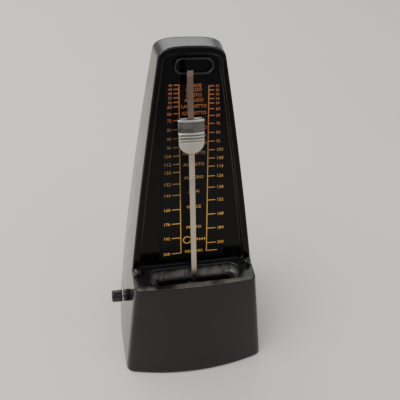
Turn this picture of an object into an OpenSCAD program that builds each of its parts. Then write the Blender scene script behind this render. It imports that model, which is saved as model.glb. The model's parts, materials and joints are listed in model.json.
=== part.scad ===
// Mechanical metronome with a bell: a tapered plastic case that leans back, a swinging rod with a
// sliding weight, a spring-driven train that keeps it going, and a bell struck every few beats.
// Millimetres. +Z up, +X to the right, -Y to the front. The origin is on the surface that the
// metronome stands on, midway across its width and its depth.

/* [Case] */
// Height of the crown above the surface
case_height = 220; // [185:1:264]
// Width across the front corners at the bottom
base_width = 100.8; // [84:0.2:122]
// Depth between the front and back corners at the bottom
base_depth = 99.7; // [96:0.1:120]
// Height of the ledge above the surface
ledge_height = 76; // [74:0.5:84]
// Width across the front corners at the ledge
ledge_width = 82.1; // [70:0.1:98]
// Width across the front corners at the crown's shoulders
shoulder_width = 39.8; // [36:0.1:50]
// How much wider the back is than the front at the bottom, on each side; negative is narrower
back_flare = -1.9; // [-3:0.1:2]
// Rounding of the upright corners
corner_radius = 4.8; // [2:0.1:6]
// Height of the rounded crown above its shoulders
crown_rise = 8; // [6:0.5:14]
// Wall thickness of the case
wall = 2.4; // [1.6:0.1:3]
// Gap between the case rim and the surface
rim_gap = 1; // [0.6:0.1:1.4]

/* [Front] */
// Angle at which the front leans back
lean = 11.05; // [8:0.05:13]
// Distance of the front plane behind the front corners, at the ledge
ledge_depth = 18.3; // [16:0.1:20]
// Depth of the recess that holds the scale
recess_depth = 3.9; // [3:0.1:5]
// Width of the frame around the recess, at the ledge
frame_border = 4.8; // [4:0.1:7]
// Thickness of the ledge
ledge_thickness = 5.4; // [4:0.1:6]
// Half of the well's length, where the rod goes down through the ledge
well_half_length = 31.5; // [29:0.5:33]
// Depth of the well's floor below the ledge
well_depth = 5.5; // [4.5:0.1:8]
// Distance from the rod's plane to the well's front wall
well_front = 6.1; // [5:0.1:6.4]
// Distance from the rod's plane to the well's rear wall
well_rear = 8.2; // [6:0.1:9]
// Half of the length of the slot in the well's floor
slot_half_length = 25; // [24:0.5:28]
// Distance from the rod's plane to the slot's front edge
slot_front = 4.3; // [4.1:0.1:5]
// Distance from the rod's plane to the slot's rear edge
slot_rear = 3.7; // [3.2:0.1:5]

/* [Pendulum] */
// Height of the pivot above the surface
pivot_height = 52.7; // [50:0.1:54]
// Distance of the rod's plane in front of the frame
rod_forward = 9; // [8:0.1:10]
// Lean of the parked rod to the left
park_angle = 1.1; // [0:0.1:3]
// Distance from the pivot to the rod's tip
rod_reach = 161; // [130:0.5:200]
// Width of the rod
rod_width = 3.5; // [3:0.1:4]
// Thickness of the rod
rod_thickness = 0.9; // [0.6:0.1:1.2]
// Distance from the pivot to the middle of the lower bob
bob_drop = 33; // [28:0.5:33]
// Radius of the lower bob
bob_radius = 13; // [10:0.5:13]
// Width of the sliding weight
weight_width = 15.7; // [14:0.1:18]
// Height of the sliding weight
weight_height = 21.8; // [18:0.1:24]
// Distance from the pivot to the weight's top edge, as parked
weight_top = 133.2; // [40:0.1:140]
// Gap between the weight and the rod, on each side
weight_clearance = 0.15; // [0.1:0.05:0.3]

/* [Movement] */
// Half of the distance between the movement's plates
plate_half_gap = 17; // [16.8:0.1:19]
// Thickness of the plates
plate_thickness = 1.5; // [1:0.1:2]
// Teeth on the barrel
barrel_teeth = 54; // [54:6:54]
// Tooth module of the barrel and the centre pinion
barrel_module = 0.8; // [0.75:0.01:0.8]
// Teeth on the centre pinion
centre_pinion_teeth = 12; // [12:1:12]
// Teeth on the centre wheel
centre_teeth = 48; // [48:1:48]
// Tooth module of the centre wheel and the escape pinion
centre_module = 0.6; // [0.55:0.01:0.6]
// Teeth on the escape pinion
escape_pinion_teeth = 10; // [10:1:10]
// Teeth on the escape wheel
escape_teeth = 12; // [12:1:12]
// Radius of the escape wheel
escape_radius = 11.5; // [10:0.1:11.5]
// Radius of the mainspring's drum
drum_radius = 16; // [14:0.5:17]
// Length of the mainspring's drum
drum_length = 13; // [10:0.5:13]
// Distance between two bell settings along the selector rod
selector_step = 2.8; // [2.4:0.1:2.8]
// Radius of the selector rod
selector_radius = 1.5; // [1.2:0.1:1.6]
// Radius of the bell
bell_radius = 17; // [14:0.5:18]
// Running clearance around every turning shaft
running_clearance = 0.05; // [0.02:0.01:0.1]

/* [Controls] */
// Diameter of the bell knob
knob_diameter = 8.5; // [7:0.5:11]
// Length of the bell knob
knob_length = 7.4; // [6:0.1:9]
// Gap between the bell knob and its sleeve
knob_gap = 0.6; // [0.4:0.1:1]
// Length of the sleeve that stands out from the case behind the bell knob
sleeve_length = 3.7; // [2:0.1:5]
// Span of the winding key's wings
key_span = 27; // [20:1:32]
// Radius of the winding arbor
winding_radius = 3; // [2.5:0.1:3.5]

/* [Hidden] */

black = [0.05, 0.05, 0.055];
steel = [0.72, 0.72, 0.74];
dark_steel = [0.4, 0.4, 0.43];
brass = [0.78, 0.62, 0.3];
rubber = [0.12, 0.12, 0.12];

touch = 0.01;
tan_lean = tan(lean);
cos_lean = cos(lean);

// Outline of the case. At each height the section has bowed sides between four corners.
floor_bow = 7.4;
ledge_bow = 2.4;
crown_bow = 1;
back_bow = 2.3;
side_bow = 2.9;
front_slim = 6.5e-5;
upper_slim = 2.06e-4;
back_slim = 1.89e-4;
back_lean = 0.1168;
shoulder_flare = 1.7;
crown_power = 3.2;
ledge_setback = 8.6;
crown_setback = 2;
front_corner_y = (floor_bow - back_bow - base_depth) / 2;
back_corner_y = front_corner_y + base_depth;
ledge_corner_y = front_corner_y + ledge_setback;
plane_y0 = ledge_corner_y + ledge_depth;
shoulder_height = case_height - crown_rise;
upper_height = shoulder_height - ledge_height;
front_slope = (base_width - ledge_width) / 2 / ledge_height - front_slim * ledge_height;
upper_slope = (ledge_width - shoulder_width) / 2 / upper_height - upper_slim * upper_height;
back_slope = (back_flare + (base_width - shoulder_width) / 2 - shoulder_flare) / shoulder_height
           - back_slim * shoulder_height;

function plane_y(z) = plane_y0 + (z - ledge_height) * tan_lean;
function mix(a, b, t) = a + (b - a) * t;
function front_half(z) = z < ledge_height
    ? base_width / 2 - front_slope * z - front_slim * z * z
    : ledge_width / 2 - upper_slope * (z - ledge_height) - upper_slim * pow(z - ledge_height, 2);
function back_half(z) = base_width / 2 + back_flare - back_slope * z - back_slim * z * z;
function front_y(z) = z < ledge_height
    ? mix(front_corner_y, ledge_corner_y, z / ledge_height)
    : mix(ledge_corner_y, plane_y(case_height) - crown_setback,
          (z - ledge_height) / (case_height - ledge_height));
function back_y(z) = back_corner_y - back_lean * z;
function front_bow(z) = z < ledge_height
    ? mix(floor_bow, ledge_bow, z / ledge_height)
    : mix(ledge_bow, crown_bow, (z - ledge_height) / (case_height - ledge_height));
function bulge(t) = 4 * t * (1 - t);
function side_x(z, t) = mix(front_half(z), back_half(z), t)
    + side_bow * pow(max(0, 1 - z / case_height), 2) * bulge(t);
function wall_x(y, z) = side_x(z, (y - front_y(z)) / (back_y(z) - front_y(z)));
function crown(z) = z <= shoulder_height ? 1
    : max(0.05, pow(1 - pow(min(1, (z - shoulder_height) / crown_rise), crown_power),
                    1 / crown_power));

// Movement: positions are [y, z] of each arbor, seen from the right-hand side.
rod_y0 = plane_y0 - rod_forward / cos_lean - (ledge_height - pivot_height) * tan_lean;
base_plate_bottom = rim_gap + 0.6;
base_plate_top = base_plate_bottom + 1.6;
barrel_distance = barrel_module * (barrel_teeth + centre_pinion_teeth) / 2;
centre_distance = centre_module * (centre_teeth + escape_pinion_teeth) / 2;
barrel_axis = [18, 28.5];
staff_drop = 4.2;
pallet_station = 18.5;
escape_axis = [rod_y0 + pallet_station * cos_lean,
               pivot_height - pallet_station * sin(lean) - staff_drop - 11.5];
link = barrel_axis - escape_axis;
link_length = norm(link);
link_unit = link / link_length;
link_along = (pow(centre_distance, 2) - pow(barrel_distance, 2) + pow(link_length, 2))
           / (2 * link_length);
link_across = sqrt(pow(centre_distance, 2) - pow(link_along, 2));
centre_axis = escape_axis + link_along * link_unit
            + link_across * [link_unit[1], -link_unit[0]];
selector_axis = [0, 48];
pull_axis = selector_axis + [-19, 3.5];

plate_outer = plate_half_gap + plate_thickness;
plate_front = -30;
plate_back = 39;
plate_top = 60;
pillar_radius = 2.4;
pillar_axes = [[-26.5, 8], [-20.5, 57], [35, 8], [25, 56.5]];

gear_x = -3.5;
gear_width = 2;
drum_x = gear_x + gear_width;
drum_wall = 1.2;
cover_thickness = 1;
centre_wheel_x = -9;
wheel_width = 1.2;
pinion_overlap = 0.5;
hex_radius = 2;
small_pivot = 1;
cam_tip = 6;
cam_width = 1.2;
cam_lobes = [4, 6, 8, 12];
first_cam_x = 2;
off_x = first_cam_x + 4 * selector_step;
tail_gap = 0.3;
tail_axis = escape_axis - selector_axis;
tail_reach = norm(tail_axis) - cam_tip - tail_gap;
tail_angle = atan2(tail_axis[1], tail_axis[0]) + 360;
bell_centre = [first_cam_x + 2 * selector_step, 11];
bell_rim_z = 64;
bell_height = 11.5;
bell_wall = 1.1;
strike_gap = 1.2;
head_radius = 2.2;
head_z = bell_rim_z + 2.4;
head_y = bell_centre[1] - bell_radius - strike_gap - head_radius;
ratchet_teeth = 24;
ratchet_radius = 8;
ratchet_x = plate_outer + 0.5;
ratchet_width = 1.6;
click_axis = barrel_axis + [-5.5, 12.5];
spring_anchor = click_axis + [9, 8];
selector_travel = 4 * selector_step;
yoke_x = -28;
yoke_thickness = 1.6;
rod_overlap = 2;
sleeve_end = wall_x(pull_axis[0], pull_axis[1]) + sleeve_length;
knob_inner = sleeve_end + knob_gap;
control_reach = knob_inner + knob_length;
key_inner = wall_x(barrel_axis[0], barrel_axis[1]) + 1.6;
key_angle = 20;
key_square = 2.8;

bob_front = 3.4;
bob_back = 5.2;
weight_front = 3.4;
weight_back = 2.6;
weight_wall = 1.3;
weight_face = 1.9;
staff_radius = 1.5;
staff_length = 29;
hub_radius = 4.5;
hub_length = 3.6;
front_bridge_station = 5.2;
rear_bridge_station = 24.2;
bridge_thickness = 2.6;

lug_radius = 2.6;
lug_height = 3.4;
lug_places = [for (s = [-1, 1]) [s * 38, plane_y0 - 3.4]];
foot_radius = 5;
foot_places = [for (x = [-1, 1]) for (y = [-1, 1]) [x * 33, y * 34 + 3]];
bracket_places = [for (x = [-1, 1]) for (y = [-18, 26]) [x * (plate_outer + 3), y]];

module along_x(axis, x, length) {
    translate([x, axis[0], axis[1]]) rotate([90, 0, 90]) linear_extrude(length) children();
}

module rod_x(axis, x, length, radius) {
    translate([x, axis[0], axis[1]]) rotate([0, 90, 0]) cylinder(h = length, r = radius, $fn = 48);
}

// Frame of the leaning front: local y goes into the case and local z climbs the slope.
module on_front() {
    translate([0, plane_y0, ledge_height]) rotate([-lean, 0, 0]) children();
}

// Frame of the pivot without the parked lean, then with it.
module on_pivot() {
    translate([0, rod_y0, pivot_height]) rotate([-lean, 0, 0]) children();
}

module on_pendulum() {
    on_pivot() rotate([0, -park_angle, 0]) children();
}

// Cylinder along the pendulum staff, from one station behind the pivot to another.
module staff_rod(from, to, radius) {
    translate([0, from, 0]) rotate([-90, 0, 0]) cylinder(h = to - from, r = radius, $fn = 48);
}

// Section of the case at one height, drawn in by an inset.
module case_section(z, inset) {
    steps = 8;
    squeeze = crown(z);
    y0 = front_y(z);
    y1 = back_y(z);
    front = [for (i = [0:steps]) let (s = -1 + 2 * i / steps)
        [squeeze * front_half(z) * s, y0 - front_bow(z) * (1 - s * s)]];
    right = [for (i = [1:steps - 1]) let (t = i / steps) [squeeze * side_x(z, t), mix(y0, y1, t)]];
    back = [for (i = [0:steps]) let (s = 1 - 2 * i / steps)
        [squeeze * back_half(z) * s, y1 + back_bow * (1 - s * s)]];
    left = [for (i = [1:steps - 1]) let (t = 1 - i / steps)
        [-squeeze * side_x(z, t), mix(y0, y1, t)]];
    round_by = min(corner_radius, squeeze * front_half(z) / 2);
    offset(r = round_by - inset * (inset < round_by ? 1 : 0), $fn = 20)
        offset(delta = -round_by) polygon(concat(front, right, back, left));
}

module case_solid(inset, bottom) {
    top = case_height - inset;
    heights = concat([bottom, ledge_height / 2, ledge_height],
                     [for (i = [1:4]) mix(ledge_height, shoulder_height, i / 4)],
                     [for (f = [0.45, 0.75, 0.93, 1]) shoulder_height + f * (top - shoulder_height)]);
    hull() for (z = heights) translate([0, 0, z - touch]) linear_extrude(touch)
        case_section(min(z + (z > shoulder_height ? inset : 0), case_height), inset);
}

// Everything in front of a plane parallel to the front and above a floor.
module front_wedge(behind, floor_z) {
    top = case_height + 20;
    translate([base_width, 0, 0]) rotate([90, 0, -90]) linear_extrude(2 * base_width)
        polygon([[-plane_y(floor_z) - behind / cos_lean, floor_z],
                 [-plane_y(top) - behind / cos_lean, top], [2 * base_depth, top],
                 [2 * base_depth, floor_z]]);
}

// The frame narrows towards the crown.
border_taper = 0.35;
function recess_half(z) = wall_x(plane_y(z), z)
    - frame_border * (1 - border_taper * (z - ledge_height) / (case_height - ledge_height));

// Outline of the recess on the leaning front, drawn in by an inset.
module recess_outline(inset, bottom) {
    crown_steps = 10;
    bend = 0.52;
    corner_z = case_height - 12;
    top_z = case_height - 4.1;
    w = recess_half(corner_z) - inset;
    function slope(z) = (z - ledge_height) / cos_lean;
    arch = [for (i = [0:crown_steps]) let (a = 90 * i / crown_steps)
        [w * pow(cos(a), bend), slope(corner_z) + (slope(top_z) - slope(corner_z) - inset)
            * pow(sin(a), bend)]];
    mid_z = mix(ledge_height, corner_z, 0.5);
    right = concat([[recess_half(ledge_height) - inset, bottom],
                    [recess_half(mid_z) - inset, slope(mid_z)]], arch);
    left = [for (i = [len(right) - 2:-1:0]) [-right[i][0], right[i][1]]];
    polygon(concat(right, left));
}

// Prism on the leaning front: outline in x and slope, from one depth to another.
module front_prism(from, to) {
    on_front() translate([0, to, 0]) rotate([90, 0, 0]) linear_extrude(to - from) children();
}

module stadium(half_length, half_height) {
    square([2 * (half_length - half_height), 2 * half_height], center = true);
    for (s = [-1, 1]) translate([s * (half_length - half_height), 0])
        circle(r = half_height, $fn = 48);
}

// Well through the ledge: a rounded pocket with a slot in its floor, parallel to the rod.
module well_cut(margin) {
    middle = (well_rear - well_front) / 2;
    half = (well_rear + well_front) / 2;
    floor_w = (ledge_height - well_depth - pivot_height) / cos_lean;
    on_pivot() translate([0, middle, floor_w - margin]) linear_extrude(2 * well_depth + margin)
        stadium(well_half_length + margin, half + margin);
    if (margin == 0) on_pivot() translate([0, middle, floor_w - 5]) linear_extrude(8)
        translate([-slot_half_length, -slot_front - middle])
            square([2 * slot_half_length, slot_front + slot_rear]);
}

// Two round lugs at the ends of the ledge that hold a front cover.
module lugs(from, height) {
    for (p = lug_places) translate([p[0], p[1], from]) cylinder(h = height, r = lug_radius, $fn = 40);
}

module case_shell() {
    collar = 1.8;
    color(black) difference() {
        union() {
            difference() {
                case_solid(0, rim_gap);
                difference() {
                    case_solid(wall, -1);
                    front_wedge(recess_depth + wall, ledge_height - ledge_thickness);
                }
            }
            intersection() {
                well_cut(collar);
                translate([-base_width / 2, -base_depth / 2, 0])
                    cube([base_width, base_depth, ledge_height]);
            }
            lugs(ledge_height - 1, lug_height + 1);
            rod_x(pull_axis, -sleeve_end, sleeve_length + wall / 2, knob_diameter / 2);
        }
        difference() {
            front_wedge(0, ledge_height);
            lugs(ledge_height - 1, lug_height + 1);
        }
        front_prism(-1, recess_depth) recess_outline(0, -0.5);
        well_cut(0);
        rod_x(pull_axis, -base_width, base_width, selector_radius + 0.4);
        rod_x(barrel_axis, 0, base_width, winding_radius + 0.4);
        for (p = foot_places) translate([p[0], p[1], rim_gap - 1]) cylinder(h = 1, r = 1, $fn = 32);
    }
}

module base_plate() {
    fit = 0.25;
    color(black) difference() {
        translate([0, 0, base_plate_bottom]) linear_extrude(base_plate_top - base_plate_bottom)
            case_section(base_plate_top, wall + fit);
        for (p = foot_places) translate([p[0], p[1], base_plate_bottom - 1])
            cylinder(h = 4, r = 1.2, $fn = 32);
        for (p = bracket_places) translate([p[0], p[1], base_plate_bottom - 1])
            cylinder(h = 4, r = 1.2, $fn = 32);
    }
}

module rubber_feet() {
    color(rubber) for (p = foot_places) translate([p[0], p[1], 0]) difference() {
        cylinder(h = base_plate_bottom, r = foot_radius, $fn = 48);
        translate([0, 0, -1]) cylinder(h = 4, r = 1.2, $fn = 32);
    }
}

module base_screws() {
    color(dark_steel) for (p = foot_places) translate([p[0], p[1], 0.4])
        cylinder(h = 9, r = 1.2, $fn = 32);
}

// Printed metal scale that lies on the recess floor.
module scale_plate() {
    sheet = 0.6;
    low = 3.6;
    high = low + 0.552 * case_height;
    low_half = 22.9;
    high_half = 15.4;
    color(black) front_prism(recess_depth - sheet, recess_depth)
        polygon([[-low_half, low], [low_half, low], [high_half, high], [-high_half, high]]);
}

// Catch for the rod's tip: an upright stadium ring on the recess floor.
module rod_clip() {
    stand = 3.4;
    half_length = 11.6;
    half_height = 4.8;
    rim = 1.2;
    centre = [1.2, (case_height - 11 - ledge_height) / cos_lean];
    color(black) front_prism(recess_depth - stand, recess_depth) translate(centre) difference() {
        stadium(half_length, half_height);
        stadium(half_length - rim, half_height - rim);
    }
}

module plate_blank() {
    polygon([[plate_front, base_plate_top], [plate_back, base_plate_top], [plate_back, 36],
             [30, plate_top], [plate_front + 4, plate_top], [plate_front, plate_top - 8]]);
}

module side_plate(x) {
    color(brass) difference() {
        along_x([0, 0], x, plate_thickness) plate_blank();
        for (p = pillar_axes) rod_x(p, x - 1, plate_thickness + 2, 1.2);
        for (p = [centre_axis, escape_axis]) rod_x(p, x - 1, plate_thickness + 2, 2.4);
        rod_x(barrel_axis, x - 1, plate_thickness + 2, winding_radius + 1.4);
        rod_x(selector_axis, x - 1, plate_thickness + 2, selector_radius + running_clearance);
        children();
    }
}

module left_plate() side_plate(-plate_outer);

module right_plate() side_plate(plate_half_gap) {
    rod_x(click_axis, plate_half_gap - 1, plate_thickness + 2, 1.2);
    rod_x(spring_anchor, plate_half_gap - 1, plate_thickness + 2, 0.8);
}

module plate_pillars() {
    color(steel) for (p = pillar_axes) difference() {
        rod_x(p, -plate_half_gap, 2 * plate_half_gap, pillar_radius);
        for (x = [-plate_half_gap - 1, plate_half_gap - 6]) rod_x(p, x, 7, 1.2);
    }
}

module pillar_screws() {
    color(dark_steel) for (p = pillar_axes) for (s = [0, 1]) mirror([s, 0, 0]) {
        rod_x(p, plate_half_gap - 5, plate_thickness + 5, 1.2);
        rod_x(p, plate_outer, 1.2, 2.2);
    }
}

// Angle brackets that hold the plates to the base plate.
module mount_brackets() {
    color(steel) for (p = bracket_places) difference() {
        translate([p[0] - 3, p[1] - 3, base_plate_top]) cube([6, 6, 4]);
        translate([p[0], p[1], base_plate_top - 1]) cylinder(h = 6, r = 1.2, $fn = 32);
    }
}

module movement_screws() {
    color(dark_steel) for (p = bracket_places) translate([p[0], p[1], base_plate_bottom - 0.4]) {
        cylinder(h = 5, r = 1.2, $fn = 32);
        translate([0, 0, -0.2]) cylinder(h = 0.6, r = 2.2, $fn = 32);
    }
}

module bush(axis, x, outer, inner) {
    difference() {
        rod_x(axis, x, plate_thickness, outer);
        rod_x(axis, x - 1, plate_thickness + 2, inner + running_clearance);
    }
}

module pivot_bushes() {
    color(brass) for (x = [-plate_outer, plate_half_gap]) {
        for (p = [centre_axis, escape_axis]) bush(p, x, 2.4, small_pivot);
        bush(barrel_axis, x, winding_radius + 1.4, winding_radius);
    }
}

// Cross bar between the plates with a bearing for the pendulum staff.
module staff_bridge(station, low, high) {
    color(brass) on_pivot() difference() {
        translate([-plate_half_gap, station, low])
            cube([2 * plate_half_gap, bridge_thickness, high - low]);
        staff_rod(station - 1, station + bridge_thickness + 1, staff_radius + running_clearance);
    }
}

module front_bridge() staff_bridge(front_bridge_station, -5, 2.8);

module rear_bridge() staff_bridge(rear_bridge_station, -2.8, 4);

module bell_bridge() {
    color(brass) difference() {
        translate([-plate_half_gap, bell_centre[1] - 3, plate_top - 5])
            cube([2 * plate_half_gap, 6, 2.4]);
        translate([bell_centre[0], bell_centre[1], plate_top - 6]) cylinder(h = 6, r = 1.5, $fn = 40);
    }
}

module bell_post() {
    color(steel) translate([bell_centre[0], bell_centre[1], 0]) {
        translate([0, 0, plate_top - 5]) cylinder(h = 2.4, r = 1.5, $fn = 40);
        translate([0, 0, plate_top - 2.6])
            cylinder(h = bell_rim_z + bell_height - bell_wall - plate_top + 2.6, r = 2.2, $fn = 40);
    }
}

// Bell: a shallow dome on its post, turned from a profile.
module bell_dome() {
    steps = 10;
    function arc(r, h) = [for (i = [0:steps]) let (a = 90 * i / steps)
        [r * cos(a), bell_rim_z + h * pow(sin(a), 0.8)]];
    outer = arc(bell_radius, bell_height);
    inner = arc(bell_radius - bell_wall, bell_height - bell_wall);
    color(steel) translate([bell_centre[0], bell_centre[1], 0]) difference() {
        rotate_extrude($fn = 72) polygon(concat([for (p = outer) [max(p[0], 0), p[1]]],
            [for (i = [steps:-1:0]) [max(inner[i][0], 0), inner[i][1]]]));
        translate([0, 0, bell_rim_z]) cylinder(h = bell_height + 1, r = 1.2, $fn = 32);
        translate([0, 0, bell_rim_z]) cylinder(h = bell_height - bell_wall, r = 2.4, $fn = 40);
    }
}

module bell_screw() {
    top = bell_rim_z + bell_height;
    color(steel) translate([bell_centre[0], bell_centre[1], 0]) {
        translate([0, 0, top]) cylinder(h = 1.6, r = 2.6, $fn = 40);
        translate([0, 0, top - bell_wall]) cylinder(h = bell_wall, r = 1.2, $fn = 32);
    }
}

// Toothed disc with straight-sided stub teeth, drawn about the origin.
module gear_outline(teeth, mod) {
    pitch = 360 / teeth;
    r = mod * teeth / 2;
    backlash = 0.1;
    half_pitch = (90 / teeth) - 180 / PI * backlash / 2 / r;
    flank = 180 / PI * 0.8 * mod * tan(22) / r;
    polygon([for (i = [0:teeth - 1]) for (k = [[-1, -1], [-1, 1], [1, 1], [1, -1]])
        let (radius = r + (k[1] > 0 ? 0.8 : -1) * mod)
        let (angle = i * pitch + k[0] * (half_pitch - k[1] * flank))
        radius * [cos(angle), sin(angle)]]);
}

function bearing(from, to) = atan2(to[1] - from[1], to[0] - from[0]);

// Rotations at rest that put a tooth of one gear into a gap of the next.
barrel_phase = bearing(barrel_axis, centre_axis);
centre_phase = bearing(centre_axis, escape_axis);

module barrel_gear() {
    color(brass) along_x(barrel_axis, gear_x, gear_width) difference() {
        rotate(barrel_phase) gear_outline(barrel_teeth, barrel_module);
        circle(r = winding_radius + running_clearance, $fn = 48);
    }
}

module barrel_drum() {
    color(brass) along_x(barrel_axis, drum_x, drum_length) difference() {
        circle(r = drum_radius, $fn = 96);
        circle(r = drum_radius - drum_wall, $fn = 96);
    }
}

module barrel_cover() {
    color(brass) along_x(barrel_axis, drum_x + drum_length, cover_thickness) difference() {
        circle(r = drum_radius, $fn = 96);
        circle(r = winding_radius + running_clearance, $fn = 48);
    }
}

// Mainspring: a flat steel strip wound as a spiral inside the drum.
module mainspring() {
    turns = 7;
    strip = 0.4;
    gap = 0.35;
    r0 = winding_radius + 1 + gap;
    r1 = drum_radius - drum_wall - gap - strip;
    steps = turns * 20;
    function spiral(extra) = [for (i = [0:steps]) let (a = 18 * i)
        (mix(r0, r1, i / steps) + extra) * [cos(a), sin(a)]];
    inner = spiral(0);
    outer = spiral(strip);
    color(dark_steel) along_x(barrel_axis, drum_x + 0.6, drum_length - 1.2)
        polygon(concat(inner, [for (i = [steps:-1:0]) outer[i]]));
}

module barrel_arbor() {
    color(steel) difference() {
        union() {
            rod_x(barrel_axis, -plate_outer, key_inner + plate_outer, winding_radius);
            rod_x(barrel_axis, drum_x + 0.5, drum_length - 1, winding_radius + 1);
            along_x(barrel_axis, key_inner, control_reach - key_inner - 1.6)
                square(key_square, center = true);
        }
    }
}

module ratchet_wheel() {
    step = 360 / ratchet_teeth;
    color(steel) along_x(barrel_axis, ratchet_x, ratchet_width) difference() {
        polygon([for (i = [0:ratchet_teeth - 1]) for (k = [[0, 0], [0.94, 1]])
            (ratchet_radius - 1.3 * (1 - k[1])) * [cos((i + k[0]) * step), sin((i + k[0]) * step)]]);
        circle(r = winding_radius, $fn = 48);
    }
}

// Pawl that drops into the ratchet's teeth. Its nose stands clear of the steep flank.
module click() {
    flank_angle = 4 * 360 / ratchet_teeth;
    function around(radius, angle) = barrel_axis + radius * [cos(angle), sin(angle)];
    across = [cos(flank_angle), sin(flank_angle)];
    color(brass) difference() {
        union() {
            rod_x(click_axis, ratchet_x, ratchet_width, 2.2);
            along_x([0, 0], ratchet_x, ratchet_width)
                polygon([around(ratchet_radius + 0.8, flank_angle + 1.5),
                         around(ratchet_radius - 0.9, flank_angle + 1.5),
                         around(ratchet_radius + 0.4, flank_angle + 12),
                         click_axis - 2.1 * across, click_axis + 2.1 * across]);
        }
        rod_x(click_axis, ratchet_x - 1, ratchet_width + 2, 1.2 + running_clearance);
    }
}

module click_screw() {
    color(dark_steel) {
        rod_x(click_axis, plate_half_gap, plate_thickness + ratchet_width + 0.8, 1.2);
        rod_x(click_axis, ratchet_x + ratchet_width + 0.2, 1, 2.2);
    }
}

// Leaf that holds the pawl down.
module click_spring() {
    rest = click_axis + [5.4, -0.9];
    color(steel) difference() {
        union() {
            rod_x(spring_anchor, plate_outer, 1.6, 2);
            along_x([0, 0], plate_outer + 0.5, 1.1)
                polygon([spring_anchor + [-1.9, 0.2], rest, rest + [0.5, -0.2],
                         spring_anchor + [-1.2, -1.3]]);
        }
        rod_x(spring_anchor, plate_outer - 1, 4, 0.8);
    }
}

module click_spring_screw() {
    color(dark_steel) {
        rod_x(spring_anchor, plate_half_gap, plate_thickness + 1.6, 0.8);
        rod_x(spring_anchor, plate_outer + 1.6, 0.9, 1.6);
    }
}

// Butterfly key: a round hub with two flat wings.
module winding_key() {
    length = control_reach - key_inner;
    color(steel) difference() {
        union() {
            rod_x(barrel_axis, key_inner, length - 1, 4.6);
            along_x(barrel_axis, key_inner + 1, length - 1) rotate(key_angle) difference() {
                stadium(key_span / 2, 4.2);
                for (s = [-1, 1]) translate([s * (key_span / 2 - 4.2), 0]) circle(r = 1.6, $fn = 32);
            }
        }
        along_x(barrel_axis, key_inner - 1, control_reach) square(key_square, center = true);
    }
}

// Arbor between the plates with a hexagonal body and round pivots.
module train_arbor(axis) {
    color(steel) {
        along_x(axis, -plate_half_gap + 0.4, 2 * plate_half_gap - 0.8)
            circle(r = hex_radius, $fn = 6);
        for (x = [-plate_outer, plate_half_gap - 0.4])
            rod_x(axis, x, plate_thickness + 0.4, small_pivot);
    }
}

module centre_arbor() train_arbor(centre_axis);

module escape_arbor() train_arbor(escape_axis);

module seated(axis, x, length) {
    along_x(axis, x, length) difference() {
        children();
        circle(r = hex_radius, $fn = 6);
    }
}

module spokes(outer, inner, count) {
    difference() {
        circle(r = outer, $fn = 64);
        circle(r = inner, $fn = 32);
        for (i = [0:count - 1]) rotate(360 * i / count) translate([-1, 0]) square([2, outer + 1]);
    }
}

module centre_wheel() {
    color(brass) seated(centre_axis, centre_wheel_x, wheel_width) difference() {
        rotate(centre_phase) gear_outline(centre_teeth, centre_module);
        spokes(11.5, 4.5, 4);
    }
}

module centre_pinion() {
    gap_phase = barrel_phase + 180 + 180 / centre_pinion_teeth;
    color(steel) seated(centre_axis, gear_x - pinion_overlap, gear_width + 0.9)
        rotate(gap_phase) gear_outline(centre_pinion_teeth, barrel_module);
}

module escape_pinion() {
    gap_phase = centre_phase + 180 + 180 / escape_pinion_teeth;
    color(steel) along_x(escape_axis, centre_wheel_x - pinion_overlap, wheel_width + 1)
        difference() {
            rotate(gap_phase) gear_outline(escape_pinion_teeth, centre_module);
            circle(r = hex_radius, $fn = 6);
        }
}

// Escape wheel with raked teeth.
module escape_wheel() {
    step = 360 / escape_teeth;
    color(brass) seated(escape_axis, -wheel_width / 2, wheel_width) difference() {
        polygon([for (i = [0:escape_teeth - 1])
            for (k = [[0, escape_radius - 3.4], [0.34, escape_radius], [0.42, escape_radius],
                      [0.5, escape_radius - 3.4]])
            k[1] * [cos((i + k[0]) * step), sin((i + k[0]) * step)]]);
        spokes(escape_radius - 4.6, 3.6, 4);
    }
}

// Bell cams: one lobed disc for each bell setting, as one turned and milled piece.
module bell_cams() {
    color(steel) for (n = [0:3]) {
        lobes = cam_lobes[n];
        seated(escape_axis, first_cam_x + n * selector_step - cam_width / 2, cam_width)
            polygon([for (i = [0:lobes - 1]) for (k = [[0, 0], [0.6, 1], [0.8, 1]])
                (cam_tip - 1 + k[1]) * [cos((i + k[0]) * 360 / lobes),
                                        sin((i + k[0]) * 360 / lobes)]]);
        if (n < 3) seated(escape_axis, first_cam_x + n * selector_step + cam_width / 2,
                          selector_step - cam_width) circle(r = 3, $fn = 40);
    }
}

module pendulum_staff() {
    color(steel) on_pendulum() staff_rod(rod_thickness / 2, staff_length, staff_radius);
}

// Two inclined leaves on the staff, one on each side of the escape wheel.
module pallets() {
    leaf_reach = staff_drop - 0.5;
    color(steel) on_pendulum() translate([0, pallet_station, 0]) difference() {
        union() {
            staff_rod(-5, 4, 2.6);
            for (s = [-1, 1]) rotate([0, 38 * s, 0]) translate([-0.5, s * 2.2 - 1.6, -leaf_reach])
                cube([1, 3.2, leaf_reach - 1]);
        }
        staff_rod(-6, 5, staff_radius);
    }
}

module rod_hub() {
    color(brass) on_pendulum() difference() {
        union() {
            staff_rod(rod_thickness / 2, hub_length, hub_radius);
            translate([-rod_width / 2, rod_thickness / 2, -9]) cube([rod_width, 1.2, 18]);
        }
        staff_rod(0, hub_length + 1, staff_radius);
        for (w = [-7, 7]) translate([0, 0, w]) staff_rod(0, hub_length, 0.8);
    }
}

module hub_rivets() {
    color(steel) on_pendulum() for (w = [-7, 7]) translate([0, 0, w]) {
        staff_rod(-rod_thickness / 2, rod_thickness / 2 + 1.2, 0.8);
        staff_rod(-rod_thickness / 2 - 0.5, -rod_thickness / 2, 1.3);
    }
}

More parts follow.
